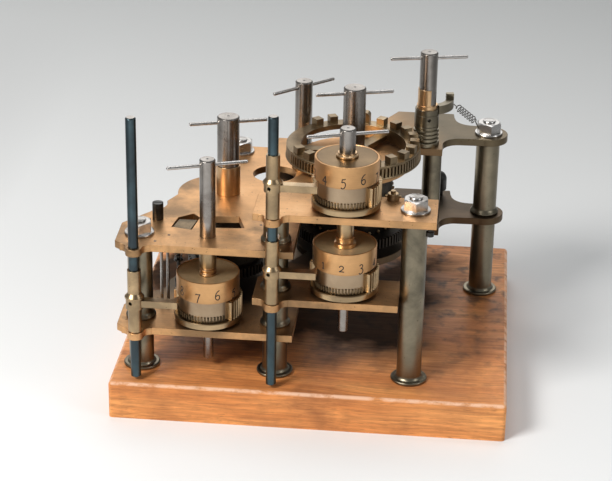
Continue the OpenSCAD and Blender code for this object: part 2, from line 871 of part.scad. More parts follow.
// Turned collars above the lower wheel and above the upper wheel
module collars_right_front() {
  bore = spindle_d / 2;
  low_h = lower_collar_top - lower_collar_z;
  r = wide_collar_d / 2;
  color("silver") at(right_front_at) {
    translate([0, 0, lower_collar_z]) rotate_extrude() polygon([
      [bore, 0], [9.3, 0], [9.3, low_h - 5.5], [7.6, low_h - 4.5], [7.4, low_h - 2],
      [8.2, low_h - 1.4], [8.2, low_h], [bore, low_h]
    ]);
    translate([0, 0, upper_collar_z]) rotate_extrude() polygon([
      [bore, 0], [r, 0], [r, collar_h * 0.4], [r - 1.6, collar_h * 0.7],
      [r - 1.6, collar_h], [bore, collar_h]
    ]);
  }
}

crown_hub_top = crown_z + 9;

module axle_middle() {
  color("gray") at(middle_axle_at) axle(thick_head_d / 2, right_low_z - spindle_out,
    crown_hub_top, middle_top, bar_turn - 2);
}

module bar_middle() {
  bar(middle_axle_at, middle_top, bar_turn - 2);
}

module ring_sector_2d(r_in, r_out, from, to) {
  intersection() {
    difference() {
      circle(r_out);
      circle(r_in);
    }
    sector_2d(r_out, from, to);
  }
}

function turned_from(a, from) = (a - from) - 360 * floor((a - from) / 360);

// Crown wheel: a flanged ring with teeth, a smooth part and upright blocks, on three spokes.
// Below the rim, the part of the ring that never meets the pinion is cut away
module crown_wheel() {
  window_from = 95;
  window_to = 158;
  window_h = 7.5;
  root = crown_r - dedendum;
  core = root - 0.15;
  lip = crown_r + crown_lip;
  rim = crown_r + 0.4;
  block_r = rim - 5;
  h = crown_top_z - crown_z;
  step = 360 / block_places;
  color("goldenrod") at(middle_axle_at) {
    difference() {
      union() {
        translate([0, 0, crown_z]) rotate_extrude() polygon([
          [crown_inner_r, 0], [lip - 0.5, 0], [lip, 0.5],
          [lip, crown_flange_h - 0.5], [lip - 0.5, crown_flange_h],
          [core, crown_flange_h], [core, crown_flange_h + crown_band_h],
          [rim, crown_flange_h + crown_band_h], [rim, h - 0.4], [rim - 0.4, h], [crown_inner_r, h]
        ]);
        translate([0, 0, crown_band_z]) linear_extrude(crown_band_h) difference() {
          polygon(gear_outline(crown_teeth, middle_lean + 180));
          circle(core - 5);
          sector_2d(crown_r, smooth_from, smooth_to);
        }
        translate([0, 0, crown_z + 1]) linear_extrude(h - 1.2)
          ring_sector_2d(core - 2, crown_r + 0.8, smooth_from - 0.4, smooth_to + 0.4);
      }
      translate([0, 0, crown_z - 1]) linear_extrude(window_h + 1)
        ring_sector_2d(crown_inner_r - 1, lip + 1, window_from, window_to);
    }
    for (i = [0 : block_places - 1]) let (a = block_start - i * step)
      if (turned_from(a, smooth_from - 5) > smooth_to - smooth_from + 10 && i != 3)
        rotate(a) translate([block_r, 0, crown_top_z]) block();
    rotate(block_start - 3 * step) translate([block_r, 0, crown_top_z]) tall_block();
    for (i = [0 : 2]) rotate(60 + i * 120) translate([9, -5, crown_z + 2])
      cube([crown_inner_r - 8, 10, web_h]);
    tube(13, spindle_d / 2, crown_z + 0.5, crown_hub_top);
  }
}

module block() {
  translate([-4, -block_w / 2, -1]) cube([8, block_w, block_h + 1]);
}

module tall_block() {
  translate([-4, -block_w / 2, -1]) cube([8, block_w, block_h + 1]);
  translate([-4, 0, block_h]) rotate([0, 90, 0]) cylinder(d = block_w, h = 8);
}

module axle_back() {
  color("gray") at(back_axle_at) axle(back_head_d / 2, left_low_z - back_spindle_out,
    left_up_top + boss_h + 0.3, back_top, 45);
}

module bar_back() {
  bar(back_axle_at, back_top, 45);
}

// Round cam under the hole of the left upper plate, with a hub below it
module back_cam() {
  cam_r = 23;
  cam_z = left_up_z - 14.5;
  color("goldenrod") at(back_axle_at) difference() {
    union() {
      disc(cam_r, cam_z, cam_z + 11);
      disc(11, cam_z - 12, cam_z + 1);
    }
    disc(spindle_d / 2, left_low_top, left_up_z);
  }
}

module axle_tall() {
  bevel = 1;
  r = back_head_d / 2;
  color("gray") at(tall_at) difference() {
    union() {
      disc(r, right_up_z + 0.3, tall_top_z - bevel);
      translate([0, 0, tall_top_z - bevel]) cylinder(r1 = r, r2 = r - bevel, h = bevel);
    }
    translate([0, 0, tall_top_z - bar_drop]) rotate([0, 0, bar_turn - 3]) rotate([0, 90, 0])
      cylinder(d = bar_d, h = 3 * r, center = true);
  }
}

module bar_tall() {
  bar(tall_at, tall_top_z, bar_turn - 3);
}

// Hub with a screw hole on the tall axle
module tall_hub() {
  color("darkkhaki") at(tall_at) difference() {
    disc(tall_hub_r, tall_hub_z, tall_lever_z);
    disc(back_head_d / 2, tall_hub_z - 1, tall_lever_z + 1);
    translate([0, 0, tall_lever_z - 3.5]) rotate([90, 0, 14]) cylinder(d = 3, h = tall_hub_r + 1);
  }
}

// Collar with a sleeve that is cut away on its right side, so the steel shows
module tall_half_sleeve() {
  r = back_head_d / 2;
  z0 = tall_collar_z + tall_collar_h;
  color("peru") at(tall_at) {
    tube(9.3, r, tall_collar_z, z0);
    difference() {
      tube(r + 0.7, r, z0 - 0.5, z0 + half_sleeve_h);
      translate([r * 0.45, -2 * r, z0]) cube([2 * r, 4 * r, half_sleeve_h + 2]);
    }
  }
}

// Curved lever clamped on the tall axle, with an upturned end for the return spring
module tall_lever() {
  r_in = lever_r - lever_w / 2;
  r_out = lever_r + lever_w / 2;
  color("dimgray") at(tall_at, tall_lever_z) difference() {
    union() {
      disc(10.6, 0, tall_ring_h);
      translate([0, lever_bow, 0]) linear_extrude(lever_h)
        ring_sector_2d(r_in, r_out, lever_from, lever_to);
      translate([0, lever_bow, lever_h - 1]) linear_extrude(5)
        ring_sector_2d(r_in, r_out, lever_to - 14, lever_to);
    }
    disc(back_head_d / 2, -1, tall_ring_h + 1);
    disc(9.6, tall_ring_h, lever_h + 1);
  }
}

spring_from = [
  tall_at[0] + (lever_r + lever_w / 2) * cos(lever_to - 7),
  tall_at[1] + lever_bow + (lever_r + lever_w / 2) * sin(lever_to - 7),
  tall_lever_z + 1.5
];
nut_side = corner_at + polar(nut_af / 2, 190);
spring_to = [nut_side[0], nut_side[1], nut_eye_z];
spring_aim = [nut_side[0], nut_side[1], spring_aim_z];
spring_axis = unit(spring_aim - spring_from);
spring_u = unit(cross(spring_axis, [0, 0, 1]));
spring_v = cross(spring_axis, spring_u);
spring_r = spring_wire / 2;
coil_r = spring_d / 2 - spring_r;
spring_count = spring_curls * spring_rings;
coil_l = spring_curls * spring_pitch;
spring_lead = (norm(spring_aim - spring_from) - coil_l) / 2;
coil_end = spring_from + (spring_lead + coil_l) * spring_axis;
hook_axis = unit(spring_to - coil_end);
hook_l = norm(spring_to - coil_end);
coil_refs = [for (i = [0 : spring_count]) let (a = i * 360 / spring_rings)
  cos(a) * spring_u + sin(a) * spring_v];
coil_path = [for (i = [0 : spring_count]) spring_from
  + (spring_lead + coil_l * i / spring_count) * spring_axis
  + coil_r * min(1, i / 4, (spring_count - i) / 4) * coil_refs[i]];
spring_path = concat(
  [for (t = [0.5, spring_lead / 2, spring_lead - 1.2]) spring_from + t * spring_axis],
  coil_path,
  [for (t = [1.2, hook_l / 2, hook_l - 0.6]) coil_end + t * hook_axis]
);
spring_refs = concat(
  [for (i = [0 : 2]) spring_u], coil_refs, [for (i = [0 : 2]) spring_u]
);
echo("Return spring, least gap to itself:",
  least_gap(coil_path, spring_r, spring_rings / 2 + 1));

module return_spring() {
  color("gray") wire(spring_path, spring_refs, spring_r, spring_side_count);
}

module rod(p, top_z) {
  bevel = 1;
  r = rod_d / 2;
  color("steelblue") at(p) {
    disc(r, board_h + rod_lift, top_z - bevel);
    translate([0, 0, top_z - bevel]) cylinder(r1 = r, r2 = r - bevel, h = bevel);
  }
}

// Turned part that clamps an arm: a hub between two sleeves, with a screw hole in front
// and a thin wider ring at the top of the hub
module rod_hub(low_z, hub_low, hub_top, top_z, screw_z) {
  ring_r = rod_hub_d / 2 + 0.9;
  difference() {
    union() {
      disc(rod_sleeve_d / 2, low_z, hub_low);
      disc(rod_hub_d / 2, hub_low, hub_top);
      disc(ring_r, hub_top - 1.2, hub_top);
      translate([0, 0, hub_top])
        cylinder(r1 = ring_r - 0.4, r2 = rod_sleeve_d / 2, h = 3.2);
      disc(rod_sleeve_d / 2, hub_top, top_z);
    }
    disc(rod_d / 2, low_z - 1, top_z + 1);
    translate([0, 0, screw_z]) rotate([90, 0, -20]) cylinder(d = 3.2, h = rod_hub_d);
  }
}

// Arm that runs in front of a figure wheel, with a nose that points at its teeth
module rod_arm(wheel_at, z) {
  reach = figure_r + addendum + arm_tip_gap;
  side = wheel_at[0] - arm_l;
  nose_y = wheel_at[1] - sqrt(reach * reach - side * side);
  translate([0, 0, z]) linear_extrude(arm_h) difference() {
    union() {
      translate([0, -arm_w / 2]) square([arm_l, arm_w]);
      polygon([[arm_l - 5, arm_w / 2 - 0.5], [arm_l, arm_w / 2 - 0.5], [arm_l, nose_y]]);
    }
    circle(rod_hub_d / 2);
  }
}

module rod_left() {
  rod(rod_left_at, rod_left_top);
}

module rod_left_sleeves() {
  low = left_low_top;
  color("peru") at(rod_left_at)
    rod_hub(low + 0.3, low + 22, low + 33.3, low + 57.8, low + 28.6);
}

module arm_left() {
  color("peru") at(rod_left_at)
    rod_arm(left_front_at - rod_left_at, left_low_top + 24.2);
}

module rod_middle() {
  rod(rod_middle_at, rod_middle_top);
}

module rod_middle_sleeves() {
  low = right_low_top;
  up = right_up_top;
  color("peru") at(rod_middle_at) {
    rod_hub(low + 0.3, low + 24.5, low + 32.2, low + 58.2, low + 29);
    rod_hub(up + 0.3, up + 24.4, up + 32.8, up + 56.7, up + 28.4);
  }
}

module arms_middle() {
  color("peru") at(rod_middle_at) {
    rod_arm(right_front_at - rod_middle_at, right_low_top + 25);
    rod_arm(right_front_at - rod_middle_at, right_up_top + 24.9);
  }
}

base_board();
lower_left_plate();
upper_left_plate();
lower_right_plate();
upper_right_plate();
pillar_left();
pillar_middle();
pillar_right();
pillar_corner();
pillar_back();
back_column();
pillar_nuts();
screw_post();
detent_block();
stop_bush();
corner_screw();
roller_post();
guide_rods();
plunger_stud();
plunger_spring();
left_bearing_sleeve();
back_bearing_boss();
tall_bearing_stack();
idler_studs();
axle_left_front();
bar_left_front();
sleeve_left_front();
collar_left_front();
figure_wheel_left();
axle_left_back();
bar_left_back();
adding_wheel_left();
idler_left();
axle_right_front();
bar_right_front();
sleeve_right_front();
collars_right_front();
figure_wheel_upper();
figure_wheel_lower();
idler_right();
pinion_upper();
axle_middle();
bar_middle();
crown_wheel();
adding_wheel_right();
axle_back();
bar_back();
back_cam();
axle_tall();
bar_tall();
tall_hub();
tall_half_sleeve();
tall_lever();
return_spring();
rod_left();
rod_left_sleeves();
arm_left();
rod_middle();
rod_middle_sleeves();
arms_middle();
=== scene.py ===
import json
import math

import bmesh
import bpy
from mathutils import Matrix, Vector


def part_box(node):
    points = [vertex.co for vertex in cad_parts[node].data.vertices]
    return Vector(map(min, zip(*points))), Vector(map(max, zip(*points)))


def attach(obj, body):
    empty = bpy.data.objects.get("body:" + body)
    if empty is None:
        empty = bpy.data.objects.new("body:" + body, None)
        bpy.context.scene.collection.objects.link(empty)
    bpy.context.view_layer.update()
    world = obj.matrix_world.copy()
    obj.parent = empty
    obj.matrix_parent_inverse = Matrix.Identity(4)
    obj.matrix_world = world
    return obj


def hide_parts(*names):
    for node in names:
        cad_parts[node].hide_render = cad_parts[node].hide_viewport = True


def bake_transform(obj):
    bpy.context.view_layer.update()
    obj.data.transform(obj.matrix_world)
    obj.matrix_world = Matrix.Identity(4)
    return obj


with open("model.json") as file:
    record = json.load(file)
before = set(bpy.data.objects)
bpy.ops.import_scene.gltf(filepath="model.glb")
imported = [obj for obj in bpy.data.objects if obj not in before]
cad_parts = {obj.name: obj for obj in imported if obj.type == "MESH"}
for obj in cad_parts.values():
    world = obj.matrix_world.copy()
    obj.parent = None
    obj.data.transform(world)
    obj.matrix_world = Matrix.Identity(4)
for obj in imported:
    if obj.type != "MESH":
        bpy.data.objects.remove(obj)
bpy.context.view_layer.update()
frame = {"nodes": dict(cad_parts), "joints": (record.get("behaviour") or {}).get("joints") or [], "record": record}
print("frame loaded:", len(frame["nodes"]), "nodes")

mm = 0.001


def inScene(name, data):
    made = bpy.data.objects.new(name, data)
    bpy.context.scene.collection.objects.link(made)
    return made


# Camera, fitted to the straight edges of the board and the upright pillars

camera = {
    "focalPixels": 1941.826,
    "pictureWidth": 612,
    "sensorWidth": 36,
    "pitch": 24.793,
    "yaw": 4.984,
    "roll": 1.043,
    "place": (0.124031, -1.606804, 0.849713),
}


def makeCamera(spec):
    yaw, pitch, roll = (math.radians(spec[k]) for k in ("yaw", "pitch", "roll"))
    back = Vector((math.sin(yaw) * math.cos(pitch), -math.cos(yaw) * math.cos(pitch), math.sin(pitch)))
    right = (-back).cross(Vector((0, 0, 1))).normalized()
    up = right.cross(-back)
    turnedRight = right * math.cos(roll) + up * math.sin(roll)
    turnedUp = -right * math.sin(roll) + up * math.cos(roll)
    data = bpy.data.cameras.new("camera")
    data.sensor_width = spec["sensorWidth"]
    data.lens = spec["focalPixels"] * spec["sensorWidth"] / spec["pictureWidth"]
    data.clip_end = 50
    made = inScene("camera", data)
    x, y, z = spec["place"]
    made.matrix_world = Matrix((
        (turnedRight.x, turnedUp.x, back.x, x),
        (turnedRight.y, turnedUp.y, back.y, y),
        (turnedRight.z, turnedUp.z, back.z, z),
        (0, 0, 0, 1),
    ))
    bpy.context.scene.camera = made


makeCamera(camera)
bpy.context.scene.view_settings.view_transform = "Standard"


# Small helpers for shader and geometry trees

def setInputs(tree, node, inputs):
    # Sockets are linked; all else is set on the input itself
    for key, value in inputs.items():
        if isinstance(value, bpy.types.NodeSocket):
            tree.links.new(value, node.inputs[key])
        else:
            node.inputs[key].default_value = value


def addNode(tree, kind, inputs=None, **settings):
    node = tree.nodes.new(kind)
    for key, value in settings.items():
        setattr(node, key, value)
    setInputs(tree, node, inputs or {})
    return node


def mathOf(tree, operation, a, b=0.0, clamp=False):
    return addNode(tree, "ShaderNodeMath", {0: a, 1: b}, operation=operation, use_clamp=clamp).outputs[0]


def plus(tree, a, b):
    return mathOf(tree, "ADD", a, b)


def minus(tree, a, b):
    return mathOf(tree, "SUBTRACT", a, b)


def times(tree, a, b, clamp=False):
    return mathOf(tree, "MULTIPLY", a, b, clamp)


def vectorOf(tree, operation, a, b=(0, 0, 0)):
    node = addNode(tree, "ShaderNodeVectorMath", {0: a, 1: b}, operation=operation)
    return node.outputs["Value" if operation == "LENGTH" else "Vector"]


def splitOf(tree, vector):
    return addNode(tree, "ShaderNodeSeparateXYZ", {0: vector}).outputs


def joinOf(tree, x=0.0, y=0.0, z=0.0):
    return addNode(tree, "ShaderNodeCombineXYZ", {0: x, 1: y, 2: z}).outputs[0]


def noiseOf(tree, vector, scale, detail=4.0, roughness=0.55, distortion=0.0):
    node = addNode(tree, "ShaderNodeTexNoise", {
        "Vector": vector, "Scale": scale, "Detail": detail, "Roughness": roughness, "Distortion": distortion,
    })
    return node.outputs["Fac"]


def rangeOf(tree, value, low, high, outLow=0.0, outHigh=1.0):
    node = addNode(tree, "ShaderNodeMapRange", {
        "Value": value, "From Min": low, "From Max": high, "To Min": outLow, "To Max": outHigh,
    })
    return node.outputs["Result"]


def mixOf(tree, factor, first, second):
    colours = [(*value, 1) if isinstance(value, tuple) else value for value in (first, second)]
    node = addNode(tree, "ShaderNodeMix", {0: factor, 6: colours[0], 7: colours[1]}, data_type="RGBA")
    return node.outputs[2]


def newMaterial(name):
    material = bpy.data.materials.new(name)
    material.use_nodes = True
    tree = material.node_tree
    coords = addNode(tree, "ShaderNodeTexCoord").outputs["Object"]
    return material, tree, tree.nodes["Principled BSDF"], coords


def bumpOf(tree, look, height):
    return addNode(tree, "ShaderNodeBump", {**look["bump"], "Height": height}).outputs[0]


def layersOf(tree, look, noises, ground):
    # The look's layers lie over its ground colour, each spread by one of the noises
    made = look[ground]
    for noise, colour, span in look["layers"]:
        made = mixOf(tree, rangeOf(tree, noises[noise], *span), made, look[colour])
    return made


# Metals. Each look gives the clean colour, the stain that covers part of it, how rough it is,
# and how its tool marks run: turned round the piece's axis, drawn along Z, or brushed flat.
# A layer gives its noise, its colour, and the noise's span with the least and the most it covers.
# A noise gives its scale, detail, roughness and distortion; the patina's scale is each look's own

commonLook = {
    "spread": 0.08, "marks": "turned", "depth": 0.04, "specks": 0.74, "speckEdge": 0.07, "speckCover": 0.75,
    "layers": [("patina", "base", (0.4, 0.6)), ("broad", "base", (0.42, 0.68, 0.0, 0.8)),
               ("patina", "bright", (0.6, 0.78, 0.0, 0.55)), ("lines", "stain", (0.3, 0.7, 0.0, 0.22))],
    "noises": {"patina": (7.0, 0.62, 0.35), "broad": (9, 3.0), "specks": (420, 2.0, 0.5), "dents": (90, 3.0),
               "turned": (1500, 3.0, 0.7), "straight": (1300, 3.0, 0.65)},
    "stretch": {"drawn": (1, 1, 0.03), "brushed": (0.04, 1, 1), "plain": (1, 1, 1)},
    "broadFrom": (3.1, 1.7, 0.4), "ragged": 0.1, "lineRough": 0.08, "dentDepth": 0.04,
    "bump": {"Strength": 0.5, "Distance": 0.0006},
}

metalLooks = {
    "plateBrass": {
        "base": (0.74, 0.415, 0.188), "stain": (0.31, 0.19, 0.098), "bright": (0.86, 0.55, 0.29),
        "rough": 0.38, "patina": 20, "marks": "brushed", "depth": 0.05, "specks": 0.68,
        # Painted shade: the right wing of the upper plates, which lies in shade, is painted dark
        "dull": {"colour": (0.105, 0.1, 0.07), "across": (1, 0.4), "from": 0.06, "to": 0.125,
                 "amount": 0.88}},
    "pillarBronze": {
        "base": (0.28, 0.24, 0.17), "stain": (0.135, 0.12, 0.088), "bright": (0.44, 0.375, 0.26),
        "rough": 0.3, "spread": 0.1, "patina": 26, "specks": 0.7},
    "turnedBrass": {
        "base": (0.52, 0.37, 0.21), "stain": (0.29, 0.21, 0.125), "bright": (0.74, 0.55, 0.33),
        "rough": 0.27, "spread": 0.1, "patina": 36, "depth": 0.05, "specks": 0.72},
    "drumBrass": {
        "base": (0.76, 0.44, 0.2), "stain": (0.5, 0.28, 0.13), "bright": (0.86, 0.55, 0.27),
        "rough": 0.38, "patina": 34, "depth": 0.05},
    # Painted light: a lighter, less metallic copy of the top brass for the dished tops, which lie in shade under
    # the plates
    "dishBrass": {
        "base": (0.66, 0.47, 0.255), "stain": (0.42, 0.29, 0.15), "bright": (0.8, 0.6, 0.35),
        "rough": 0.3, "patina": 30, "depth": 0.12, "metallic": 0.55},
    "drumTop": {
        "base": (0.25, 0.157, 0.066), "stain": (0.16, 0.1, 0.044), "bright": (0.4, 0.26, 0.12),
        "rough": 0.32, "patina": 30, "depth": 0.12},
    "bandSilver": {
        "base": (0.42, 0.31, 0.205), "stain": (0.32, 0.23, 0.148), "bright": (0.52, 0.395, 0.275),
        "rough": 0.26, "spread": 0.03, "patina": 30, "depth": 0, "specks": 0.76},
    "sleeveBrass": {
        "base": (0.78, 0.52, 0.29), "stain": (0.48, 0.31, 0.17), "bright": (0.9, 0.68, 0.43),
        "rough": 0.27, "patina": 46, "specks": 0.72},
    "gearBrass": {
        "base": (0.25, 0.175, 0.095), "stain": (0.1, 0.074, 0.044), "bright": (0.42, 0.31, 0.18),
        "rough": 0.38, "spread": 0.12, "patina": 50, "depth": 0.05, "specks": 0.62},
    # Painted shade: brass painted near black for parts that stand in deep shade inside the machine
    "shadeBrass": {
        "base": (0.05, 0.04, 0.029), "stain": (0.024, 0.02, 0.017), "bright": (0.11, 0.09, 0.06),
        "rough": 0.42, "spread": 0.12, "patina": 45, "specks": 0.64},
    "crownBronze": {
        "base": (0.36, 0.26, 0.15), "stain": (0.145, 0.112, 0.072), "bright": (0.55, 0.42, 0.25),
        "rough": 0.34, "spread": 0.12, "patina": 34, "depth": 0.05, "specks": 0.66},
    "axleSteel": {
        "base": (0.37, 0.345, 0.32), "stain": (0.23, 0.205, 0.185), "bright": (0.56, 0.54, 0.52),
        "rough": 0.22, "patina": 36, "marks": "drawn", "depth": 0.02, "specks": 0.76},
    "brightSteel": {
        "base": (0.58, 0.565, 0.55), "stain": (0.34, 0.315, 0.29), "bright": (0.8, 0.79, 0.78),
        "rough": 0.25, "patina": 60, "depth": 0.02},
    "barSteel": {
        "base": (0.62, 0.6, 0.58), "stain": (0.44, 0.41, 0.38), "bright": (0.8, 0.79, 0.78),
        "rough": 0.24, "spread": 0.04, "patina": 60, "marks": "plain", "depth": 0, "specks": 0.78},
    "bluedSteel": {
        "base": (0.072, 0.112, 0.128), "stain": (0.048, 0.062, 0.07), "bright": (0.15, 0.19, 0.2),
        "rough": 0.27, "patina": 26, "marks": "drawn", "depth": 0.02, "specks": 0.76},
    "darkSteel": {
        "base": (0.095, 0.095, 0.092), "stain": (0.045, 0.042, 0.038), "bright": (0.22, 0.215, 0.205),
        "rough": 0.34, "spread": 0.1, "patina": 60, "depth": 0.03, "specks": 0.7},
    "springSteel": {
        "base": (0.26, 0.25, 0.24), "stain": (0.11, 0.095, 0.08), "bright": (0.5, 0.49, 0.48),
        "rough": 0.28, "spread": 0.06, "patina": 120, "marks": "plain", "depth": 0, "specks": 0.78},
}

metalLooks["lowPlateBrass"] = {
    **metalLooks["plateBrass"], "rough": 0.42,
    # Painted shade: the back of the lower plates, shaded by the upper plates, is painted dark
    "dull": {"colour": (0.06, 0.047, 0.032), "across": (0, 1), "from": -0.112, "to": -0.07, "amount": 0.9},
}


def toolMarks(tree, coords, look):
    marks, noises = look["marks"], look["noises"]
    if marks != "turned":
        stretched = vectorOf(tree, "MULTIPLY", coords, look["stretch"][marks])
        return noiseOf(tree, stretched, *noises["straight"])
    # Noise over the distance from the axis that the piece was turned on, and over the height
    axis = addNode(tree, "ShaderNodeAttribute", attribute_name="axisAt").outputs["Vector"]
    place = vectorOf(tree, "SUBTRACT", coords, axis)
    radius = vectorOf(tree, "LENGTH", vectorOf(tree, "MULTIPLY", place, (1, 1, 0)))
    return noiseOf(tree, joinOf(tree, radius, splitOf(tree, place)["Z"]), *noises["turned"])


def metalColour(tree, coords, look, lines):
    noises = look["noises"]
    patina = noiseOf(tree, coords, look["patina"], *noises["patina"])
    broad = noiseOf(tree, vectorOf(tree, "ADD", coords, look["broadFrom"]), *noises["broad"])
    made = layersOf(tree, look, {"patina": patina, "broad": broad, "lines": lines}, "stain")
    if "dull" in look:
        # Painted shade: the metal is painted darker past a ragged line that x and y give together, where the
        # plates lie in shade
        dull, place = look["dull"], splitOf(tree, coords)
        alongX, alongY = (times(tree, place[i], dull["across"][i]) for i in (0, 1))
        ragged = times(tree, minus(tree, patina, 0.5), look["ragged"])
        past = plus(tree, plus(tree, alongX, alongY), ragged)
        paintedShadeCover = rangeOf(tree, past, dull["from"], dull["to"], 0.0, dull["amount"])
        made = mixOf(tree, paintedShadeCover, made, dull["colour"])
    specks = noiseOf(tree, coords, *noises["specks"])
    full = look["specks"] + look["speckEdge"]
    dots = rangeOf(tree, specks, look["specks"], full, 0.0, look["speckCover"])
    return mixOf(tree, dots, made, tuple(c * 0.3 for c in look["stain"])), patina


def metalMaterial(name, look):
    material, tree, shader, coords = newMaterial(name)
    lines = toolMarks(tree, coords, look)
    made, patina = metalColour(tree, coords, look, lines)
    half = look["spread"] / 2
    rough = rangeOf(tree, patina, 0.3, 0.7, look["rough"] + half, look["rough"] - half)
    setInputs(tree, shader, {"Base Color": made, "Metallic": look.get("metallic", 1.0),
                             "Roughness": plus(tree, rough, times(tree, lines, look["lineRough"]))})
    if look["depth"]:
        dents = noiseOf(tree, coords, *look["noises"]["dents"])
        height = plus(tree, times(tree, lines, look["depth"]), times(tree, dents, look["dentDepth"]))
        setInputs(tree, shader, {"Normal": bumpOf(tree, look, height)})
    return material


materials = {name: metalMaterial(name, {**commonLook, **look}) for name, look in metalLooks.items()}


# Varnished board: grain along X, darker in blotches of dirt that grow towards the back as painted shade, painted
# shade under the machine, worn along its edges

woodLook = {
    "light": (0.98, 0.43, 0.14), "mid": (0.78, 0.285, 0.082), "dark": (0.28, 0.095, 0.036),
    # Dirt and the painted shade towards the back share this dark colour
    "grime": (0.055, 0.036, 0.025), "worn": (0.88, 0.56, 0.38),
    "layers": [("broad", "light", (0.34, 0.66)), ("fine", "dark", (0.36, 0.66, 0.0, 0.55)),
               ("pores", "dark", (0.6, 0.7, 0.0, 0.5)), ("cloud", "dark", (0.48, 0.7, 0.0, 0.62))],
    "grains": {"broad": (0.12, 42, 3.0), "fine": (0.05, 420, 5.0, 0.6), "pores": (0.07, 1300, 2.0)},
    "bend": (3, 9, 9), "sway": 0.05, "clouds": (11, 4.0, 0.55, 0.4), "scuffing": (0.5, 130, 4.0, 0.7),
    "blotting": (60, 3.0), "blotsFrom": (0.4, 0.2, 0), "grimeShare": 0.75, "wornShare": 0.85,
    "blots": (0.5, 0.72), "inward": (-0.15, 0.02), "rim": (0.0314, 0.0323), "scuffs": (0.36, 0.56),
    # Painted shade under the machine: its colour, how much it covers, and the spans where it fades
    "oil": (0.014, 0.011, 0.009), "oilShare": 0.94, "ragged": {"X": 0.12, "Y": 0.12, "Z": 0.0},
    "oilSpans": {"X": [(-0.168, -0.15), (0.132, 0.092)], "Y": [(-0.095, -0.05), (0.15, 0.105)],
                 "Z": [(0.03, 0.034)]},
    "halfLength": 0.1715, "halfDepth": 0.1605, "coatRough": 0.22, "rough": (0.3, 0.7, 0.4, 0.55),
    "shine": [("Specular IOR Level", 0.22, 0.01), ("Coat Weight", 0.08, 0.0)],
    "bump": {"Strength": 0.35, "Distance": 0.0006},
}


def woodMaterial(look):
    material, tree, shader, coords = newMaterial("varnishedWood")
    bend = noiseOf(tree, vectorOf(tree, "MULTIPLY", coords, look["bend"]), 1.0, 2.0)
    bent = vectorOf(tree, "ADD", coords, joinOf(tree, y=times(tree, bend, look["sway"])))

    def stretched(vector, by, *noise):
        return noiseOf(tree, vectorOf(tree, "MULTIPLY", vector, (by, 1, 1)), *noise)

    noises = {name: stretched(bent, *noise) for name, noise in look["grains"].items()}
    noises["cloud"] = noiseOf(tree, coords, *look["clouds"])
    varnished = layersOf(tree, look, noises, "mid")
    blot = noiseOf(tree, vectorOf(tree, "ADD", coords, look["blotsFrom"]), *look["blotting"])
    place = splitOf(tree, coords)
    # Partly dirt and partly painted shade: the blotches are painted darker towards the back of the board
    inward = plus(tree, rangeOf(tree, place["Y"], *look["inward"]), 0.25)
    grime = times(tree, rangeOf(tree, blot, *look["blots"]), inward, True)
    dirtAndShade = mixOf(tree, times(tree, grime, look["grimeShare"]), varnished, look["grime"])
    # Painted shade: under the machine the varnish is painted near black, fading towards the rims
    paintedUnderShadeCover = look["oilShare"]
    for axis, limits in look["oilSpans"].items():
        moved = times(tree, minus(tree, noises["cloud"], 0.5), look["ragged"][axis])
        across = plus(tree, place[axis], moved)
        for clean, full in limits:
            paintedUnderShadeCover = times(tree, paintedUnderShadeCover, rangeOf(tree, across, clean, full))
    dirtAndShade = mixOf(tree, paintedUnderShadeCover, dirtAndShade, look["oil"])
    outX = minus(tree, mathOf(tree, "ABSOLUTE", place["X"]), look["halfLength"])
    outY = minus(tree, mathOf(tree, "ABSOLUTE", place["Y"]), look["halfDepth"])
    rim = plus(tree, mathOf(tree, "MAXIMUM", outX, outY), place["Z"])
    scuff = stretched(coords, *look["scuffing"])
    wear = times(tree, rangeOf(tree, rim, *look["rim"]), rangeOf(tree, scuff, *look["scuffs"]))
    worn = mixOf(tree, times(tree, wear, look["wornShare"]), dirtAndShade, look["worn"])
    grain = plus(tree, times(tree, noises["fine"], 0.4), times(tree, scuff, 0.5))
    setInputs(tree, shader, {
        "Base Color": worn, "Coat Roughness": look["coatRough"], "Normal": bumpOf(tree, look, grain),
        "Roughness": rangeOf(tree, noises["fine"], *look["rough"]),
    })
    # The painted shade under the machine also takes the shine off the varnish
    for socket, litShine, paintedShadeShine in look["shine"]:
        shine = rangeOf(tree, paintedUnderShadeCover, 0.0, look["oilShare"], litShine, paintedShadeShine)
        setInputs(tree, shader, {socket: shine})
    return material


materials["wood"] = woodMaterial(woodLook)


# Black wax that fills the cut figures

waxLook = {"deep": (0.012, 0.011, 0.01), "thin": (0.075, 0.05, 0.032), "noise": (380, 3.0),
           "worn": (0.55, 0.75), "rough": (0.3, 0.7, 0.45, 0.7)}


def waxMaterial(look):
    material, tree, shader, coords = newMaterial("blackWax")
    noise = noiseOf(tree, coords, *look["noise"])
    worn = mixOf(tree, rangeOf(tree, noise, *look["worn"]), look["deep"], look["thin"])
    setInputs(tree, shader, {"Base Color": worn, "Roughness": rangeOf(tree, noise, *look["rough"])})
    return material


materials["blackWax"] = waxMaterial(waxLook)
print("materials made")

# What the record says of each node, and the axis that each turned piece was made on

bodyOf = {node: body for body, nodes in frame["record"]["behaviour"]["bodies"].items() for node in nodes}
jointAt = {joint["child"]: Vector(joint["pos_m"]) for joint in frame["joints"]}


def middleOf(node):
    low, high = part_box(node)
    return (low + high) / 2


def axesOf(node):
    shared = {"idler_studs": ["idler_left", "idler_right", "pinion_upper"]}
    if bodyOf[node] in jointAt:
        return [jointAt[bodyOf[node]]]
    return [middleOf(other) for other in shared.get(node, [node])]


# Small helpers for meshes

def newObject(name, vertices, faces, edges=()):
    mesh = bpy.data.meshes.new(name)
    mesh.from_pydata(vertices, edges, faces)
    mesh.update()
    return inScene(name, mesh)


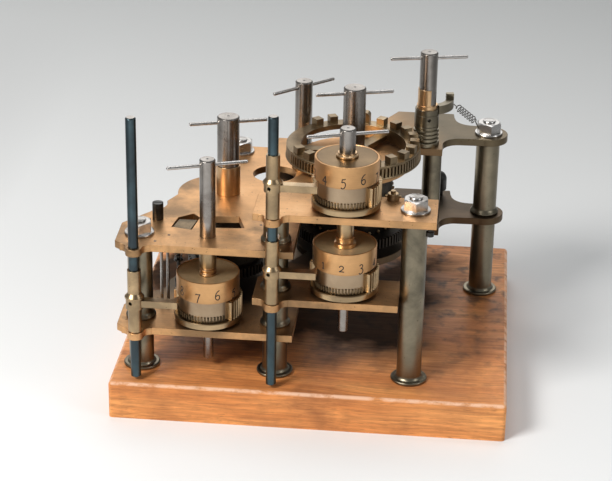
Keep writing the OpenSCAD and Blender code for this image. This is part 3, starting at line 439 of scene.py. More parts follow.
def outwards(made, fill=False):
    shape = bmesh.new()
    shape.from_mesh(made.data)
    bmesh.ops.remove_doubles(shape, verts=shape.verts, dist=1e-7)
    if fill:
        bmesh.ops.holes_fill(shape, edges=shape.edges, sides=0)
    bmesh.ops.recalc_face_normals(shape, faces=shape.faces)
    shape.to_mesh(made.data)
    shape.free()
    return made


def polar(reach, degrees):
    turn = math.radians(degrees)
    return Vector((math.cos(turn), math.sin(turn))) * reach


def turnsOf(count):
    return [2 * math.pi * i / count for i in range(count)]


def closedSkin(starts, count):
    # Faces over rings of points that follow one another, with both ends closed
    faces = [(one + i, one + (i + 1) % count, two + (i + 1) % count, two + i)
             for one, two in zip(starts, starts[1:]) for i in range(count)]
    ends = [tuple(range(start, start + count)) for start in (starts[0], starts[-1])]
    return faces + [ends[0][::-1], ends[1]]


def baked(made):
    # The modifiers' result becomes the piece's own mesh
    graph = bpy.context.evaluated_depsgraph_get()
    mesh = bpy.data.meshes.new_from_object(made.evaluated_get(graph), depsgraph=graph)
    made.modifiers.clear()
    old = made.data
    made.data = mesh
    bpy.data.meshes.remove(old)
    return made


def markAxes(made, axes):
    # Each point keeps the axis nearest to it, which the turned finishes read
    mesh = made.data
    stored = mesh.attributes.new("axisAt", "FLOAT_VECTOR", "POINT")
    for index, vertex in enumerate(mesh.vertices):
        near = min(axes, key=lambda axis: (vertex.co.xy - axis.xy).length_squared)
        stored.data[index].vector = (near.x, near.y, 0)


def sharpen(made, angle):
    made.data.set_sharp_from_angle(angle=math.radians(angle))


def finishEdges(made, width, segments=2, angle=34):
    made.data.polygons.foreach_set("use_smooth", [True] * len(made.data.polygons))
    if width:
        bevel = made.modifiers.new("edges", "BEVEL")
        bevel.width = width * mm
        bevel.segments = segments
        bevel.limit_method = "ANGLE"
        bevel.angle_limit = math.radians(angle)
        bevel.use_clamp_overlap = False
        bevel.miter_outer = "MITER_ARC"
    else:
        sharpen(made, angle)
    weighted = made.modifiers.new("normals", "WEIGHTED_NORMAL")
    weighted.keep_sharp = True
    weighted.weight = 80
    return baked(made)


def placed(made, material, body, replaced=()):
    made.data.materials.clear()
    made.data.materials.append(materials[material])
    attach(made, body)
    if replaced:
        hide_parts(*replaced)
    return made


def onNode(made, finish, node, axis, replaced=()):
    markAxes(made, [axis])
    return placed(made, finish, bodyOf[node], replaced)


def pieceName(node):
    first, *rest = node.split("_")
    return first + "".join(word.capitalize() for word in rest)


# A flat face with an opening in it can't be joined into one, so these keep their level triangles
levelTriangles = ("crown_wheel", "detent_block", "axle_left_back", "axle_tall")


def cleanCopy(node):
    # The node's loose triangles become one closed mesh with flat faces joined
    shape = bmesh.new()
    shape.from_mesh(frame["nodes"][node].data)
    bmesh.ops.remove_doubles(shape, verts=shape.verts, dist=2e-6)
    edges = list(shape.edges)
    if node in levelTriangles:
        edges = [e for e in edges if all(abs(face.normal.z) < 0.99 for face in e.link_faces)]
    bmesh.ops.dissolve_limit(shape, angle_limit=math.radians(0.5), verts=[], edges=edges)
    vertices = [vertex.co.copy() for vertex in shape.verts]
    shape.verts.index_update()
    faces = [[vertex.index for vertex in face.verts] for face in shape.faces]
    shape.free()
    return newObject(pieceName(node), vertices, faces)


# Solids that keep their shape: closed copies with broken edges. Each row gives the finish,
# the width of the broken edge in millimetres and the nodes

dressed = [
    ("lowPlateBrass", 0.4, "lower_left_plate lower_right_plate"),
    ("plateBrass", 0.4, "upper_left_plate upper_right_plate"),
    ("pillarBronze", 0.3, "pillar_left pillar_middle pillar_right pillar_corner pillar_back"),
    ("pillarBronze", 0, "back_column"),
    ("pillarBronze", 0.12, "tall_bearing_stack"),
    ("pillarBronze", 0.2, "tall_hub tall_lever"),
    ("darkSteel", 0.3, "screw_post corner_screw"),
    ("darkSteel", 0.2, "roller_post idler_studs"),
    ("darkSteel", 0.15, "plunger_stud"),
    ("gearBrass", 0.3, "detent_block"),
    ("gearBrass", 0.1, "idler_left idler_right pinion_upper"),
    ("turnedBrass", 0.2, "stop_bush sleeve_left_front sleeve_right_front"),
    ("turnedBrass", 0.3, "back_bearing_boss"),
    ("turnedBrass", 0.15, "rod_left_sleeves rod_middle_sleeves"),
    ("turnedBrass", 0.25, "arm_left arms_middle"),
    ("barSteel", 0, "guide_rods"),
    ("sleeveBrass", 0.3, "left_bearing_sleeve"),
    ("sleeveBrass", 0.12, "collar_left_front collars_right_front"),
    ("sleeveBrass", 0.1, "tall_half_sleeve"),
    ("axleSteel", 0.15, "axle_left_front axle_left_back axle_right_front axle_middle axle_back axle_tall"),
    # Painted shade: the adding wheels and the back cam inside the machine get brass painted near black
    ("shadeBrass", 0.12, "adding_wheel_left adding_wheel_right"),
    ("shadeBrass", 0.2, "back_cam"),
    ("bluedSteel", 0.15, "rod_left rod_middle"),
    ("crownBronze", 0.15, "crown_wheel"),
]

for finish, width, nodes in dressed:
    for node in nodes.split():
        piece = finishEdges(cleanCopy(node), width)
        markAxes(piece, axesOf(node))
        placed(piece, finish, bodyOf[node], [node])
print("solids dressed:", len(dressed))


# Base board: one block with rounded upright corners and top edges

board = {"round": 3.5, "steps": 6}


def makeBoard(spec):
    low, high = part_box("base_board")
    middle, size = (low + high) / 2, high - low
    shape = bmesh.new()
    bmesh.ops.create_cube(shape, size=1)
    for vertex in shape.verts:
        vertex.co = middle + Vector(a * b for a, b in zip(vertex.co, size))
    edges = [e for e in shape.edges if max(v.co.z for v in e.verts) > middle.z]
    bmesh.ops.bevel(shape, geom=edges, offset=spec["round"] * mm, segments=spec["steps"],
                    profile=0.5, affect="EDGES")
    made = newObject("baseBoard", [], [])
    shape.to_mesh(made.data)
    shape.free()
    finishEdges(made, 0)
    return placed(made, "wood", "frame", ["base_board"])


makeBoard(board)
print("board made")


# Node trees: each takes named inputs and ends in real geometry with the piece's finish

def startTree(name, inputs):
    tree = bpy.data.node_groups.new(name, "GeometryNodeTree")
    for label, kind in {**inputs, "Finish": "Material"}.items():
        tree.interface.new_socket(label, in_out="INPUT", socket_type="NodeSocket" + kind)
    tree.interface.new_socket("Result", in_out="OUTPUT", socket_type="NodeSocketGeometry")
    return tree, addNode(tree, "NodeGroupInput").outputs


def endTree(tree, given, geometry):
    real = addNode(tree, "GeometryNodeRealizeInstances", {"Geometry": geometry})
    finish = addNode(tree, "GeometryNodeSetMaterial",
                     {"Geometry": real.outputs[0], "Material": given["Finish"]})
    addNode(tree, "NodeGroupOutput", {"Result": finish.outputs[0]})
    return tree


def layRound(tree, geometry, reach, turn, height, centre):
    # Every point goes to its reach, turn and height about an upright axis through the centre
    x, y = (times(tree, reach, mathOf(tree, kind, turn)) for kind in ("COSINE", "SINE"))
    spot = vectorOf(tree, "ADD", joinOf(tree, x, y, height), centre)
    return addNode(tree, "GeometryNodeSetPosition", {"Geometry": geometry, "Position": spot}).outputs[0]


def copiesAt(tree, points, shape, turn):
    made = addNode(tree, "GeometryNodeInstanceOnPoints",
                   {"Points": points, "Instance": shape, "Rotation": joinOf(tree, z=turn)})
    return made.outputs[0]


# Wires: springs are tubes that a node tree lays along a path

def wireTree():
    tree, given = startTree("wireAlongPath", {"Path": "Geometry", "Wire radius": "Float", "Sides": "Int"})
    curve = addNode(tree, "GeometryNodeMeshToCurve", {"Mesh": given["Path"]})
    profile = addNode(tree, "GeometryNodeCurvePrimitiveCircle",
                      {"Resolution": given["Sides"], "Radius": given["Wire radius"]})
    tube = addNode(tree, "GeometryNodeCurveToMesh",
                   {"Curve": curve.outputs[0], "Profile Curve": profile.outputs[0], "Fill Caps": True})
    smooth = addNode(tree, "GeometryNodeSetShadeSmooth", {"Geometry": tube.outputs[0]})
    return endTree(tree, given, smooth.outputs[0])


def useTree(made, tree, **values):
    # A modifier's input is set by its socket's identifier
    modifier = made.modifiers.new("nodes", "NODES")
    modifier.node_group = tree
    known = {item.name: item.identifier for item in tree.interface.items_tree if item.in_out == "INPUT"}
    for name, value in values.items():
        modifier[known[name.replace("_", " ")]] = value
    return baked(made)


wires = wireTree()


def wirePiece(name, points, radius, sides, material):
    made = newObject(name, points, [], [(i, i + 1) for i in range(len(points) - 1)])
    return useTree(made, wires, Wire_radius=radius * mm, Sides=sides, Finish=materials[material])


# Turned pieces: a node tree spins a half section round an upright axis, all the way or part of it

def turnedTree():
    tree, given = startTree("turnedRoundAxis", {
        "Section": "Geometry", "Section points": "Int", "Steps": "Int",
        "From": "Float", "To": "Float", "Centre": "Vector",
    })
    columns = plus(tree, given["Steps"], 1.0)
    grid = addNode(tree, "GeometryNodeMeshGrid",
                   {"Vertices X": given["Section points"], "Vertices Y": columns})
    index = addNode(tree, "GeometryNodeInputIndex").outputs[0]
    row = mathOf(tree, "FLOOR", mathOf(tree, "DIVIDE", plus(tree, index, 0.5), columns))
    column = minus(tree, index, times(tree, row, columns))
    place = addNode(tree, "GeometryNodeInputPosition").outputs[0]
    sample = addNode(tree, "GeometryNodeSampleIndex",
                     {"Geometry": given["Section"], "Index": row, "Value": place},
                     data_type="FLOAT_VECTOR", domain="POINT")
    section = splitOf(tree, sample.outputs[0])
    share = mathOf(tree, "DIVIDE", column, given["Steps"])
    sweep = minus(tree, given["To"], given["From"])
    turn = plus(tree, given["From"], times(tree, sweep, share))
    spun = layRound(tree, grid.outputs[0], section["X"], turn, section["Z"], given["Centre"])
    closed = addNode(tree, "GeometryNodeMergeByDistance", {"Geometry": spun, "Distance": 1e-6})
    return endTree(tree, given, closed.outputs[0])


turned = turnedTree()


def turnedPiece(name, section, centre, material, steps=96, start=0.0, end=360.0):
    # The section is a list of (radius, height) in millimetres, closed by its first point
    points = [Vector((r, 0, z)) * mm for r, z in section + section[:1]]
    made = newObject(name, points, [])
    useTree(made, turned, Section_points=len(points), Steps=steps, From=math.radians(start),
            To=math.radians(end), Centre=tuple(centre), Finish=materials[material])
    return finishEdges(outwards(made, fill=True), 0, angle=24)


# Rings of equal shapes: a node tree repeats one shape round an upright axis

def ringTree():
    tree, given = startTree("ringOfShapes", {
        "Shape": "Geometry", "Count": "Int", "First turn": "Float",
        "Step turn": "Float", "Centre": "Vector",
    })
    spots = addNode(tree, "GeometryNodePoints", {"Count": given["Count"], "Position": given["Centre"]})
    index = addNode(tree, "GeometryNodeInputIndex").outputs[0]
    turn = plus(tree, given["First turn"], times(tree, index, given["Step turn"]))
    return endTree(tree, given, copiesAt(tree, spots.outputs[0], given["Shape"], turn))


rings = ringTree()


def ringPiece(name, vertices, faces, centre, material, count, first, step):
    made = outwards(newObject(name, [Vector(v) * mm for v in vertices], faces))
    useTree(made, rings, Count=count, First_turn=math.radians(first), Step_turn=math.radians(step),
            Centre=tuple(centre), Finish=materials[material])
    sharpen(made, 24)
    return made


def prism(outline, low, high):
    # An upright bar over a flat outline, as vertices and faces
    count = len(outline)
    vertices = [(x, y, z) for z in (low, high) for x, y in outline]
    sides = [(i, (i + 1) % count, (i + 1) % count + count, i + count) for i in range(count)]
    return vertices, [tuple(range(count))[::-1], tuple(range(count, 2 * count))] + sides


# Figures: strokes drawn flat, given a width and laid round a drum by a node tree

def figureTree():
    tree, given = startTree("strokesRoundDrum", {
        "Strokes": "Geometry", "Drum radius": "Float", "Stroke width": "Float",
        "Stroke depth": "Float", "Centre": "Vector",
    })
    curve = addNode(tree, "GeometryNodeMeshToCurve", {"Mesh": given["Strokes"]})
    upright = addNode(tree, "GeometryNodeSetCurveNormal", {"Curve": curve.outputs[0]}, mode="Z_UP")
    profile = addNode(tree, "GeometryNodeCurvePrimitiveQuadrilateral",
                      {"Width": given["Stroke width"], "Height": given["Stroke depth"]})
    ribbon = addNode(tree, "GeometryNodeCurveToMesh",
                     {"Curve": upright.outputs[0], "Profile Curve": profile.outputs[0], "Fill Caps": True})
    flat = splitOf(tree, addNode(tree, "GeometryNodeInputPosition").outputs[0])
    turn = mathOf(tree, "DIVIDE", flat["X"], given["Drum radius"])
    reach = plus(tree, given["Drum radius"], flat["Z"])
    laid = layRound(tree, ribbon.outputs[0], reach, turn, flat["Y"], given["Centre"])
    return endTree(tree, given, laid)


figures = figureTree()

# Each figure's strokes on a field one unit high, old style: some stand above the line, some hang below

figureStrokes = {
    0: [[(0.0, 0.6), (-0.17, 0.5), (-0.22, 0.3), (-0.17, 0.1), (0.0, 0.0), (0.17, 0.1), (0.22, 0.3),
         (0.17, 0.5), (0.0, 0.6)]],
    1: [[(-0.13, 0.5), (0.0, 0.62), (0.0, 0.3), (0.0, 0.0)], [(-0.12, 0.0), (0.12, 0.0)]],
    2: [[(-0.22, 0.45), (-0.12, 0.6), (0.06, 0.6), (0.17, 0.46), (0.1, 0.28), (-0.08, 0.12),
         (-0.24, 0.02)],
        [(-0.24, 0.02), (0.0, 0.03), (0.24, 0.0)]],
    3: [[(-0.18, 0.5), (-0.05, 0.62), (0.12, 0.58), (0.16, 0.42), (0.05, 0.28), (-0.06, 0.24)],
        [(-0.06, 0.24), (0.14, 0.16), (0.2, -0.05), (0.08, -0.28), (-0.12, -0.33), (-0.22, -0.22)]],
    4: [[(0.08, 0.62), (-0.09, 0.34), (-0.26, 0.06)], [(-0.26, 0.06), (0.0, 0.06), (0.24, 0.06)],
        [(0.08, 0.62), (0.08, 0.2), (0.08, -0.33)]],
    5: [[(-0.1, 0.62), (-0.13, 0.45), (-0.16, 0.28)], [(-0.1, 0.62), (0.06, 0.6), (0.2, 0.66)],
        [(-0.16, 0.28), (0.04, 0.34), (0.18, 0.18), (0.16, -0.1), (0.02, -0.3), (-0.16, -0.3),
         (-0.2, -0.2)]],
    6: [[(0.18, 0.98), (-0.05, 0.82), (-0.2, 0.5), (-0.2, 0.18), (-0.05, 0.0), (0.12, 0.04), (0.2, 0.22),
         (0.14, 0.44), (-0.02, 0.5), (-0.17, 0.36)]],
    7: [[(-0.22, 0.5), (-0.16, 0.6), (0.02, 0.56), (0.22, 0.62)],
        [(0.22, 0.62), (0.06, 0.22), (-0.08, -0.33)]],
    8: [[(0.0, 0.5), (-0.15, 0.62), (-0.13, 0.82), (0.02, 0.92), (0.15, 0.8), (0.12, 0.62), (0.0, 0.5),
         (-0.17, 0.36), (-0.18, 0.12), (0.0, 0.0), (0.18, 0.12), (0.17, 0.36), (0.0, 0.5)]],
    9: [[(-0.18, -0.36), (0.05, -0.2), (0.2, 0.12), (0.2, 0.44), (0.05, 0.62), (-0.12, 0.58),
         (-0.2, 0.4), (-0.14, 0.18), (0.02, 0.12), (0.17, 0.26)]],
}


def smoothLine(points, steps=5):
    # A curve through all the points, as a string of short lines
    line = []
    for i in range(len(points) - 1):
        before, start = Vector(points[max(i - 1, 0)]), Vector(points[i])
        end, after = Vector(points[i + 1]), Vector(points[min(i + 2, len(points) - 1)])
        slope, bend = end - before, 2 * before - 5 * start + 4 * end - after
        twist = 3 * start - before - 3 * end + after
        for k in range(steps):
            s = k / steps
            line.append(0.5 * (2 * start + slope * s + bend * s * s + twist * s ** 3))
    return line + [Vector(points[-1])]


# Figure wheels: a lipped foot, a band that is smooth in front and toothed behind, and a drum
# with the figures 0 to 9. Two have a dished top, the upper one a flat top

figureWheel = {
    "height": 43.0, "foot": 29.2, "footHeight": 5.2, "band": 25.2, "toothTip": 29.6, "toothRoot": 26.9,
    "toothTop": 22.4, "drum": 27.2, "drumFrom": 24.4, "boreFrom": 7.6,
    "teeth": 50, "smoothFrom": 182.0, "smoothTo": 316.0, "notchTop": 10.4, "notches": 56,
    "rim": 1.3, "dish": 3.0, "dishFloor": 10.5, "groove": 25.4,
    "figureSize": 8.9, "baseline": 27.6, "strokeWidth": 0.85, "strokeDepth": 0.16,
}

wheelOf = {
    "figure_wheel_left": {"flat": False, "figure": 6, "at": -64.6, "step": -36.0},
    "figure_wheel_upper": {"flat": True, "figure": 5, "at": -91.9, "step": 36.0},
    "figure_wheel_lower": {"flat": False, "figure": 2, "at": -91.1, "step": 36.0},
}


def wheelFoot(spec):
    r, h = spec["foot"], spec["footHeight"]
    return [(spec["boreFrom"], 0.0), (r - 0.5, 0.0), (r - 0.1, 0.15), (r, 0.6), (r, h - 1.0),
            (r - 0.15, h - 0.4), (r - 0.6, h), (spec["band"] - 1, h), (spec["boreFrom"], h)]


def wheelDrum(spec, flat):
    r, low, top = spec["drum"], spec["drumFrom"], spec["height"]
    inner = spec["groove"] if flat else r - spec["rim"]
    return [(inner, low - 1), (spec["band"] - 2, low - 1), (spec["band"] - 2, low), (r - 0.3, low),
            (r, low + 0.3), (r, top - 0.45), (r - 0.12, top - 0.15), (r - 0.4, top), (inner + 0.2, top),
            (inner, top - 0.3)]


def wheelTop(spec, flat):
    # The top is a little disc of its own, flat with a fine groove round it or dished
    r, top, bore = spec["drum"], spec["height"], spec["boreFrom"]
    if flat:
        r = spec["groove"] - 0.05
        return [(bore, top - 5), (r, top - 5), (r, top - 0.35), (r - 0.3, top), (r - 6, top), (bore, top)]
    r -= spec["rim"] + 0.05
    dish, floor = spec["dish"], spec["dishFloor"]
    return [(bore, top - 6), (r, top - 6), (r, top - 0.7), (floor + 6, top - dish * 0.72),
            (floor, top - dish), (bore, top - dish)]


def upright(half, low, high):
    # A bar over an outline that is given on one side of its middle line
    return prism([(x, -y) for x, y in half] + half[::-1], low, high)


def toothShape(spec):
    root, tip = spec["toothRoot"], spec["toothTip"]
    half = [(root - 0.3, 1.12), (root + 0.5, 0.98), (tip - 0.9, 0.72), (tip, 0.36)]
    return upright(half, spec["footHeight"] + 0.4, spec["toothTop"])


def notchShape(spec):
    r = spec["band"]
    half = [(r - 0.6, 0.95), (r + 0.95, 0.78), (r + 1.15, 0.5)]
    return upright(half, spec["footHeight"] + 0.6, spec["notchTop"])


def makeFigureWheel(node, spec, own):
    name, axis = pieceName(node), jointAt[bodyOf[node]]
    centre = Vector((axis.x, axis.y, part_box(node)[0].z))

    def spin(suffix, section, finish, steps=96, start=0.0, end=360.0, replaced=()):
        made = turnedPiece(name + suffix, section, centre, finish, steps, start, end)
        onNode(made, finish, node, axis, replaced)

    def repeat(suffix, shape, finish, start, end, count):
        # As many whole shapes as fit between two turns, in the middle of what is left there
        pitch = 360 / count
        fitting = int((end - start) / pitch)
        first = start + (end - start - (fitting - 1) * pitch) / 2
        made = ringPiece(name + suffix, *shape, centre, finish, fitting, first, pitch)
        onNode(made, finish, node, axis)

    start, end = spec["smoothTo"], spec["smoothFrom"] + 360
    h, band, low, bore = (spec[key] for key in ("footHeight", "band", "drumFrom", "boreFrom"))
    spin("Foot", wheelFoot(spec), "turnedBrass", replaced=[node])
    column = [(bore, h - 0.4), (band - 0.8, h - 0.4), (band - 0.8, h + 0.6), (band, h + 0.9),
              (band, low - 0.9), (band - 0.25, low - 0.5), (band - 0.25, low + 0.1), (bore, low + 0.1)]
    spin("Band", column, "bandSilver")
    root, top = spec["toothRoot"], spec["toothTop"]
    ring = [(band - 1, h + 0.5), (root, h + 0.5), (root, top - 0.3), (root - 0.3, top), (band - 1, top)]
    spin("ToothedRing", ring, "turnedBrass", 80, start, end)
    repeat("Teeth", toothShape(spec), "turnedBrass", start, end, spec["teeth"])
    repeat("Notches", notchShape(spec), "gearBrass", spec["smoothFrom"], spec["smoothTo"], spec["notches"])
    spin("Drum", wheelDrum(spec, own["flat"]), "drumBrass", 128)
    # The dished tops get the lightened, painted-light copy of the top brass
    spin("Top", wheelTop(spec, own["flat"]), "drumTop" if own["flat"] else "dishBrass", 128)
    points, edges = [], []
    for figure in range(10):
        turn = math.radians(own["at"] + (figure - own["figure"]) * own["step"])
        for stroke in figureStrokes[figure]:
            line = smoothLine(stroke)
            edges += [(len(points) + i, len(points) + i + 1) for i in range(len(line) - 1)]
            points += [Vector((turn * spec["drum"] + p.x * spec["figureSize"],
                               spec["baseline"] + p.y * spec["figureSize"], 0)) * mm for p in line]
    made = newObject(name + "Figures", points, [], edges)
    useTree(made, figures, Drum_radius=(spec["drum"] + 0.02) * mm, Stroke_width=spec["strokeWidth"] * mm,
            Stroke_depth=spec["strokeDepth"] * mm, Centre=tuple(centre), Finish=materials["blackWax"])
    onNode(made, "blackWax", node, axis)


for node, own in wheelOf.items():
    makeFigureWheel(node, figureWheel, own)
print("figure wheels made")


# Cross bars through the axle heads: straight pins with rounded ends

crossBar = {"sides": 20, "round": 0.75, "roundSteps": 4}
axleEnds = ("left_front", "left_back", "right_front", "middle", "back", "tall")


def makeCrossBar(node, spec):
    middle = middleOf(node)
    points = [vertex.co - middle for vertex in frame["nodes"][node].data.vertices]
    far = max(points, key=lambda point: point.xy.length)
    half, radius = far.xy.length / mm, max(abs(point.z) for point in points) / mm
    along = Vector((far.x, far.y, 0)).normalized()
    across = Vector((-along.y, along.x, 0))
    r, steps = spec["round"] * radius, spec["roundSteps"]
    turns = [math.radians(90 * i / steps) for i in range(steps + 1)]
    stations = [(-half + r - r * math.cos(a), radius - r + r * math.sin(a)) for a in turns]
    stations += [(-x, y) for x, y in reversed(stations)]
    sides, vertices = spec["sides"], []
    for x, y in stations:
        for a in turnsOf(sides):
            offset = along * x + across * y * math.cos(a) + Vector((0, 0, y * math.sin(a)))
            vertices.append(middle + offset * mm)
    faces = closedSkin(range(0, len(vertices), sides), sides)
    made = finishEdges(outwards(newObject(pieceName(node), vertices, faces)), 0, angle=40)
    onNode(made, "barSteel", node, middle, [node])


for place in axleEnds:
    makeCrossBar("bar_" + place, crossBar)


# Small discs: a turner's centre mark on each axle, the rods' bare bright ends, and dark pins
# driven level with the left upper plate

centreMark = {"radius": 1.15, "proud": 0.05, "sunk": 0.3, "sides": 20, "finish": "darkSteel"}
rodEnd = {"radius": 3.55, "proud": 0.05, "sunk": 0.3, "sides": 32, "finish": "axleSteel"}
levelPin = {"radius": 1.3, "proud": 0.06, "sunk": 0.4, "sides": 20, "finish": "darkSteel",
            "at": [(-122.3, -123.3), (-132.0, -136.9), (-47.1, -92.7)]}


def makeDisc(name, node, axis, spec):
    section = [(0, -spec["sunk"]), (spec["radius"], -spec["sunk"]), (spec["radius"], spec["proud"]),
               (0, spec["proud"])]
    centre = (axis.x, axis.y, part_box(node)[1].z)
    made = turnedPiece(name, section, centre, spec["finish"], spec["sides"])
    onNode(made, spec["finish"], node, axis)


for node in ["axle_" + place for place in axleEnds]:
    makeDisc(pieceName(node) + "Centre", node, jointAt[bodyOf[node]], centreMark)
for node in ("rod_left", "rod_middle"):
    makeDisc(pieceName(node) + "End", node, jointAt[bodyOf[node]], rodEnd)
for count, (x, y) in enumerate(levelPin["at"]):
    makeDisc("levelPin" + str(count), "upper_left_plate", Vector((x, y, 0)) * mm, levelPin)
print("cross bars made")


# Nuts on the pillars: a washer, a six-sided nut with its corners turned off, and the pillar's end.
# A node tree sets one such stack on every pillar

def placesTree():
    tree, given = startTree("shapeAtPlaces", {"Shape": "Geometry", "Places": "Object"})
    spots = addNode(tree, "GeometryNodeObjectInfo", {"Object": given["Places"]})
    turn = addNode(tree, "GeometryNodeInputNamedAttribute", {"Name": "turn"}, data_type="FLOAT").outputs[0]
    return endTree(tree, given, copiesAt(tree, spots.outputs["Geometry"], given["Shape"], turn))


places = placesTree()


def placedCopies(made, spots, material, angle):
    # spots is a list of (x, y, z, turn in degrees); the helper object that holds them goes again
    holder = newObject("spots", [Vector(spot[:3]) for spot in spots], [])
    turns = holder.data.attributes.new("turn", "FLOAT", "POINT")
    turns.data.foreach_set("value", [math.radians(spot[3]) for spot in spots])
    useTree(made, places, Places=holder, Finish=materials[material])
    bpy.data.objects.remove(holder)
    made.data.polygons.foreach_set("use_smooth", [True] * len(made.data.polygons))
    sharpen(made, angle)
    return made


nut = {"washer": 12.7, "washerHeight": 2.2, "flats": 19.6, "height": 9.2, "crown": 0.96, "slope": 30,
       "end": 5.6, "endHeight": 2.0, "steps": 72,
       "turn": {"pillar_left": 8, "pillar_middle": 20, "pillar_right": 4, "pillar_corner": 12,
                "pillar_back": 0}}


def makeNuts(spec):
    steps, low, top = spec["steps"], spec["washerHeight"], spec["washerHeight"] + spec["height"]
    half, slope, end = spec["flats"] / 2, math.tan(math.radians(spec["slope"])), spec["end"]
    crown, w, vertices = half * spec["crown"], spec["washer"], []

    def ring(radius, height):
        start = len(vertices)
        for a in turnsOf(steps):
            r = radius(a) if callable(radius) else radius
            z = height(r) if callable(height) else height
            vertices.append((r * math.cos(a) * mm, r * math.sin(a) * mm, z * mm))
        return start

    def sixSided(a):
        return half / math.cos((a + math.pi / 6) % (math.pi / 3) - math.pi / 6)

    washer = [ring(w - 0.3, 0), ring(w, 0.35), ring(w, low - 0.7), ring(w - 0.25, low - 0.2),
              ring(w - 0.8, low)]
    sixSides = [
        ring(lambda a: min(sixSided(a), crown + 0.5), low - 0.01),
        ring(sixSided, lambda r: low + 0.3 * (r > crown)),
        ring(sixSided, lambda r: top - max(0, r - crown) * slope),
        ring(crown, top), ring(end + 0.7, top), ring(end + 0.55, top - 0.25),
    ]
    pillarEnd = [ring(end, top - 0.5)]
    for wide, high in ((1, 0.45), (0.93, 0.75), (0.75, 0.93), (0.4, 1)):
        pillarEnd.append(ring(end * wide, top + spec["endHeight"] * high))
    faces = [face for rows in (washer, sixSides, pillarEnd) for face in closedSkin(rows, steps)]
    made = outwards(newObject("pillarNuts", vertices, faces))
    heights = {"pillar_right": "upper_right_plate", "pillar_corner": "upper_right_plate"}
    spots = []
    for pillar, turn in spec["turn"].items():
        middle = middleOf(pillar)
        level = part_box(heights.get(pillar, "upper_left_plate"))[1].z
        spots.append((middle.x, middle.y, level, turn))
    placedCopies(made, spots, "brightSteel", 20)
    markAxes(made, [middleOf(pillar) for pillar in spec["turn"]])
    return placed(made, "brightSteel", "frame", ["pillar_nuts"])


makeNuts(nut)
print("nuts made")


# Studs in rows round the right adding wheel's drum

drumStuds = {"drum": 36.0, "rows": 4, "turns": 24, "radius": 1.5, "reach": 1.6, "from": 10, "to": 42,
             "sides": 10}


def makeDrumStuds(spec):
    node, sides, radius = "adding_wheel_right", spec["sides"], spec["radius"]
    axis, bottom = jointAt[bodyOf[node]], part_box(node)[0].z / mm + spec["from"]
    tip = spec["drum"] + spec["reach"]
    vertices, faces = [], []
    for row in range(spec["rows"]):
        z = bottom + (spec["to"] - spec["from"]) * row / (spec["rows"] - 1)
        start = len(vertices)
        for reach, r in ((spec["drum"] - 0.6, radius), (tip - 0.4, radius), (tip, radius - 0.4)):
            for a in turnsOf(sides):
                vertices.append((reach, r * math.cos(a), z + r * math.sin(a)))
        faces += closedSkin(range(start, len(vertices), sides), sides)
    made = ringPiece("drumStuds", vertices, faces, (axis.x, axis.y, 0), "turnedBrass", spec["turns"], 0,
                     360 / spec["turns"])
    onNode(made, "turnedBrass", node, axis)


makeDrumStuds(drumStuds)
print("studs made")


# Return spring of the tall axle's lever, from the lever's tip to the corner nut

returnSpring = {"outer": 7.0, "wire": 0.95, "curls": 8, "pitch": 3.1, "sides": 10, "steps": 24,
                "bow": 18, "leverReach": 23.5, "leverTurn": 10, "nutTurn": 190, "nutHalf": 9.5,
                "leverHeight": 31.0, "aimHeight": 9.0, "eyeHeight": 4.5}


def makeReturnSpring(spec):
    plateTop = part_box("upper_right_plate")[1].z / mm
    tall = jointAt[bodyOf["axle_tall"]] / mm
    corner = middleOf("pillar_corner") / mm
    tip = tall.xy + Vector((0, spec["bow"])) + polar(spec["leverReach"], spec["leverTurn"])
    start = Vector((*tip, plateTop + spec["leverHeight"]))
    eye = corner.xy + polar(spec["nutHalf"], spec["nutTurn"])
    aim = Vector((*eye, plateTop + spec["aimHeight"]))
    end = Vector((*eye, plateTop + spec["eyeHeight"]))
    axis = (aim - start).normalized()
    across = axis.cross(Vector((0, 0, 1))).normalized()
    upward = axis.cross(across)
    coil = spec["outer"] / 2 - spec["wire"] / 2
    length = spec["curls"] * spec["pitch"]
    lead = ((aim - start).length - length) / 2
    count = spec["curls"] * spec["steps"]
    ease = spec["steps"] // 2
    points = [start + axis * t for t in (0.2, lead / 2, lead - 1.2)]
    for i in range(count + 1):
        angle = 2 * math.pi * i / spec["steps"]
        reach = coil * min(1, i / ease, (count - i) / ease)
        points.append(start + axis * (lead + length * i / count)
                      + (across * math.cos(angle) + upward * math.sin(angle)) * reach)
    coilEnd = start + axis * (lead + length)
    hook = end - coilEnd
    points += [coilEnd + hook * t for t in (0.12, 0.5, 0.97)]
    made = wirePiece("returnSpring", [p * mm for p in points], spec["wire"] / 2, spec["sides"], "springSteel")
    markAxes(made, [middleOf("return_spring")])
    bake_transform(made)
    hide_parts("return_spring")
    return made


makeReturnSpring(returnSpring)


# Small spring round the plunger between the left plates

plungerSpring = {"coil": 3.0, "wire": 1.0, "curls": 8, "sides": 8, "steps": 20}


def makePlungerSpring(spec):
    low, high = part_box("plunger_spring")
    middle = (low + high) / 2
    bottom, top = low.z / mm + spec["wire"] / 2, high.z / mm - spec["wire"] / 2
    count = spec["curls"] * spec["steps"]
    points = []
    for i in range(count + 1):
        spot = middle.xy / mm + polar(spec["coil"], 360 * i / spec["steps"])
        points.append(Vector((*spot, bottom + (top - bottom) * i / count)) * mm)
    made = wirePiece("plungerSpring", points, spec["wire"] / 2, spec["sides"], "springSteel")
    onNode(made, "springSteel", "plunger_spring", middle, ["plunger_spring"])


makePlungerSpring(plungerSpring)
print("springs made")


# Floor and lamps

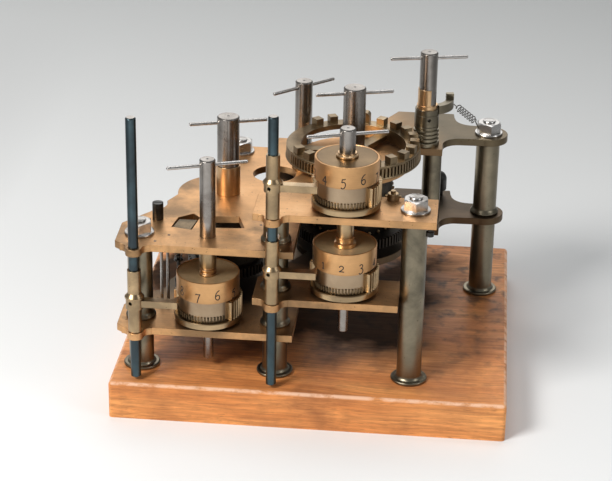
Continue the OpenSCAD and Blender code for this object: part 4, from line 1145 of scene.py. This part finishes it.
floor = {
    "half": 4.0, "near": (0.93, 0.935, 0.935), "far": (0.47, 0.48, 0.48), "nearAt": -0.35, "farAt": 1.25,
    "slant": 0.25, "rough": 0.9, "specular": 0.1,
    "side": (0.22, 0.22, 0.22), "sideFrom": 0.36, "sideTo": 0.8, "sideUntil": 0.25, "sideGone": 0.9,
}


def makeFloor(spec):
    half = spec["half"]
    made = newObject("floor", [(-half, -half, 0), (half, -half, 0), (half, half, 0), (-half, half, 0)],
                     [(0, 1, 2, 3)])
    material, tree, shader, coords = newMaterial("paleFloor")
    # Painted shade on the floor: pale in front and darker towards the back, as the light falls off
    place = splitOf(tree, coords)
    slope = plus(tree, place["Y"], times(tree, place["X"], spec["slant"]))
    shade = rangeOf(tree, slope, spec["nearAt"], spec["farAt"])
    paintedFalloff = mixOf(tree, shade, spec["near"], spec["far"])
    # Painted shade on the floor beside the object: the darker floor there gives the round metal its dark sides
    beside = rangeOf(tree, mathOf(tree, "ABSOLUTE", place["X"]), spec["sideFrom"], spec["sideTo"])
    ahead = rangeOf(tree, place["Y"], spec["sideGone"], spec["sideUntil"])
    setInputs(tree, shader, {"Base Color": mixOf(tree, times(tree, beside, ahead), paintedFalloff, spec["side"]),
                             "Roughness": spec["rough"], "Specular IOR Level": spec["specular"]})
    made.data.materials.append(material)


makeFloor(floor)

room = {"colour": (0.9, 0.92, 0.93, 1), "strength": 0.26, "lampsAim": (0, 0, 0.12)}

lamps = {
    "key": {"place": (-1.35, -1.45, 1.75), "size": (0.9, 0.8), "power": 56, "colour": (1, 0.985, 0.96)},
    "side": {"place": (1.9, -0.9, 1.2), "size": (0.6, 0.9), "power": 8, "colour": (0.96, 0.98, 1)},
    "back": {"place": (-0.2, 2.1, 1.25), "size": (2.6, 1.1), "power": 14, "colour": (1, 0.99, 0.97)},
    "top": {"place": (0.0, 0.35, 2.1), "size": (1.2, 0.7), "power": 8, "colour": (1, 1, 1)},
}


def makeLamp(name, spec):
    data = bpy.data.lights.new(name, "AREA")
    data.shape = "RECTANGLE"
    data.size, data.size_y = spec["size"]
    data.energy = spec["power"]
    data.color = spec["colour"]
    made = inScene(name, data)
    made.location = spec["place"]
    aim = Vector(room["lampsAim"]) - Vector(spec["place"])
    made.rotation_euler = aim.to_track_quat("-Z", "Y").to_euler()


for name, spec in lamps.items():
    makeLamp(name, spec)

world = bpy.data.worlds.new("paleRoom")
bpy.context.scene.world = world
world.use_nodes = True
setInputs(world.node_tree, world.node_tree.nodes["Background"],
          {"Color": room["colour"], "Strength": room["strength"]})
print("floor and lamps made")
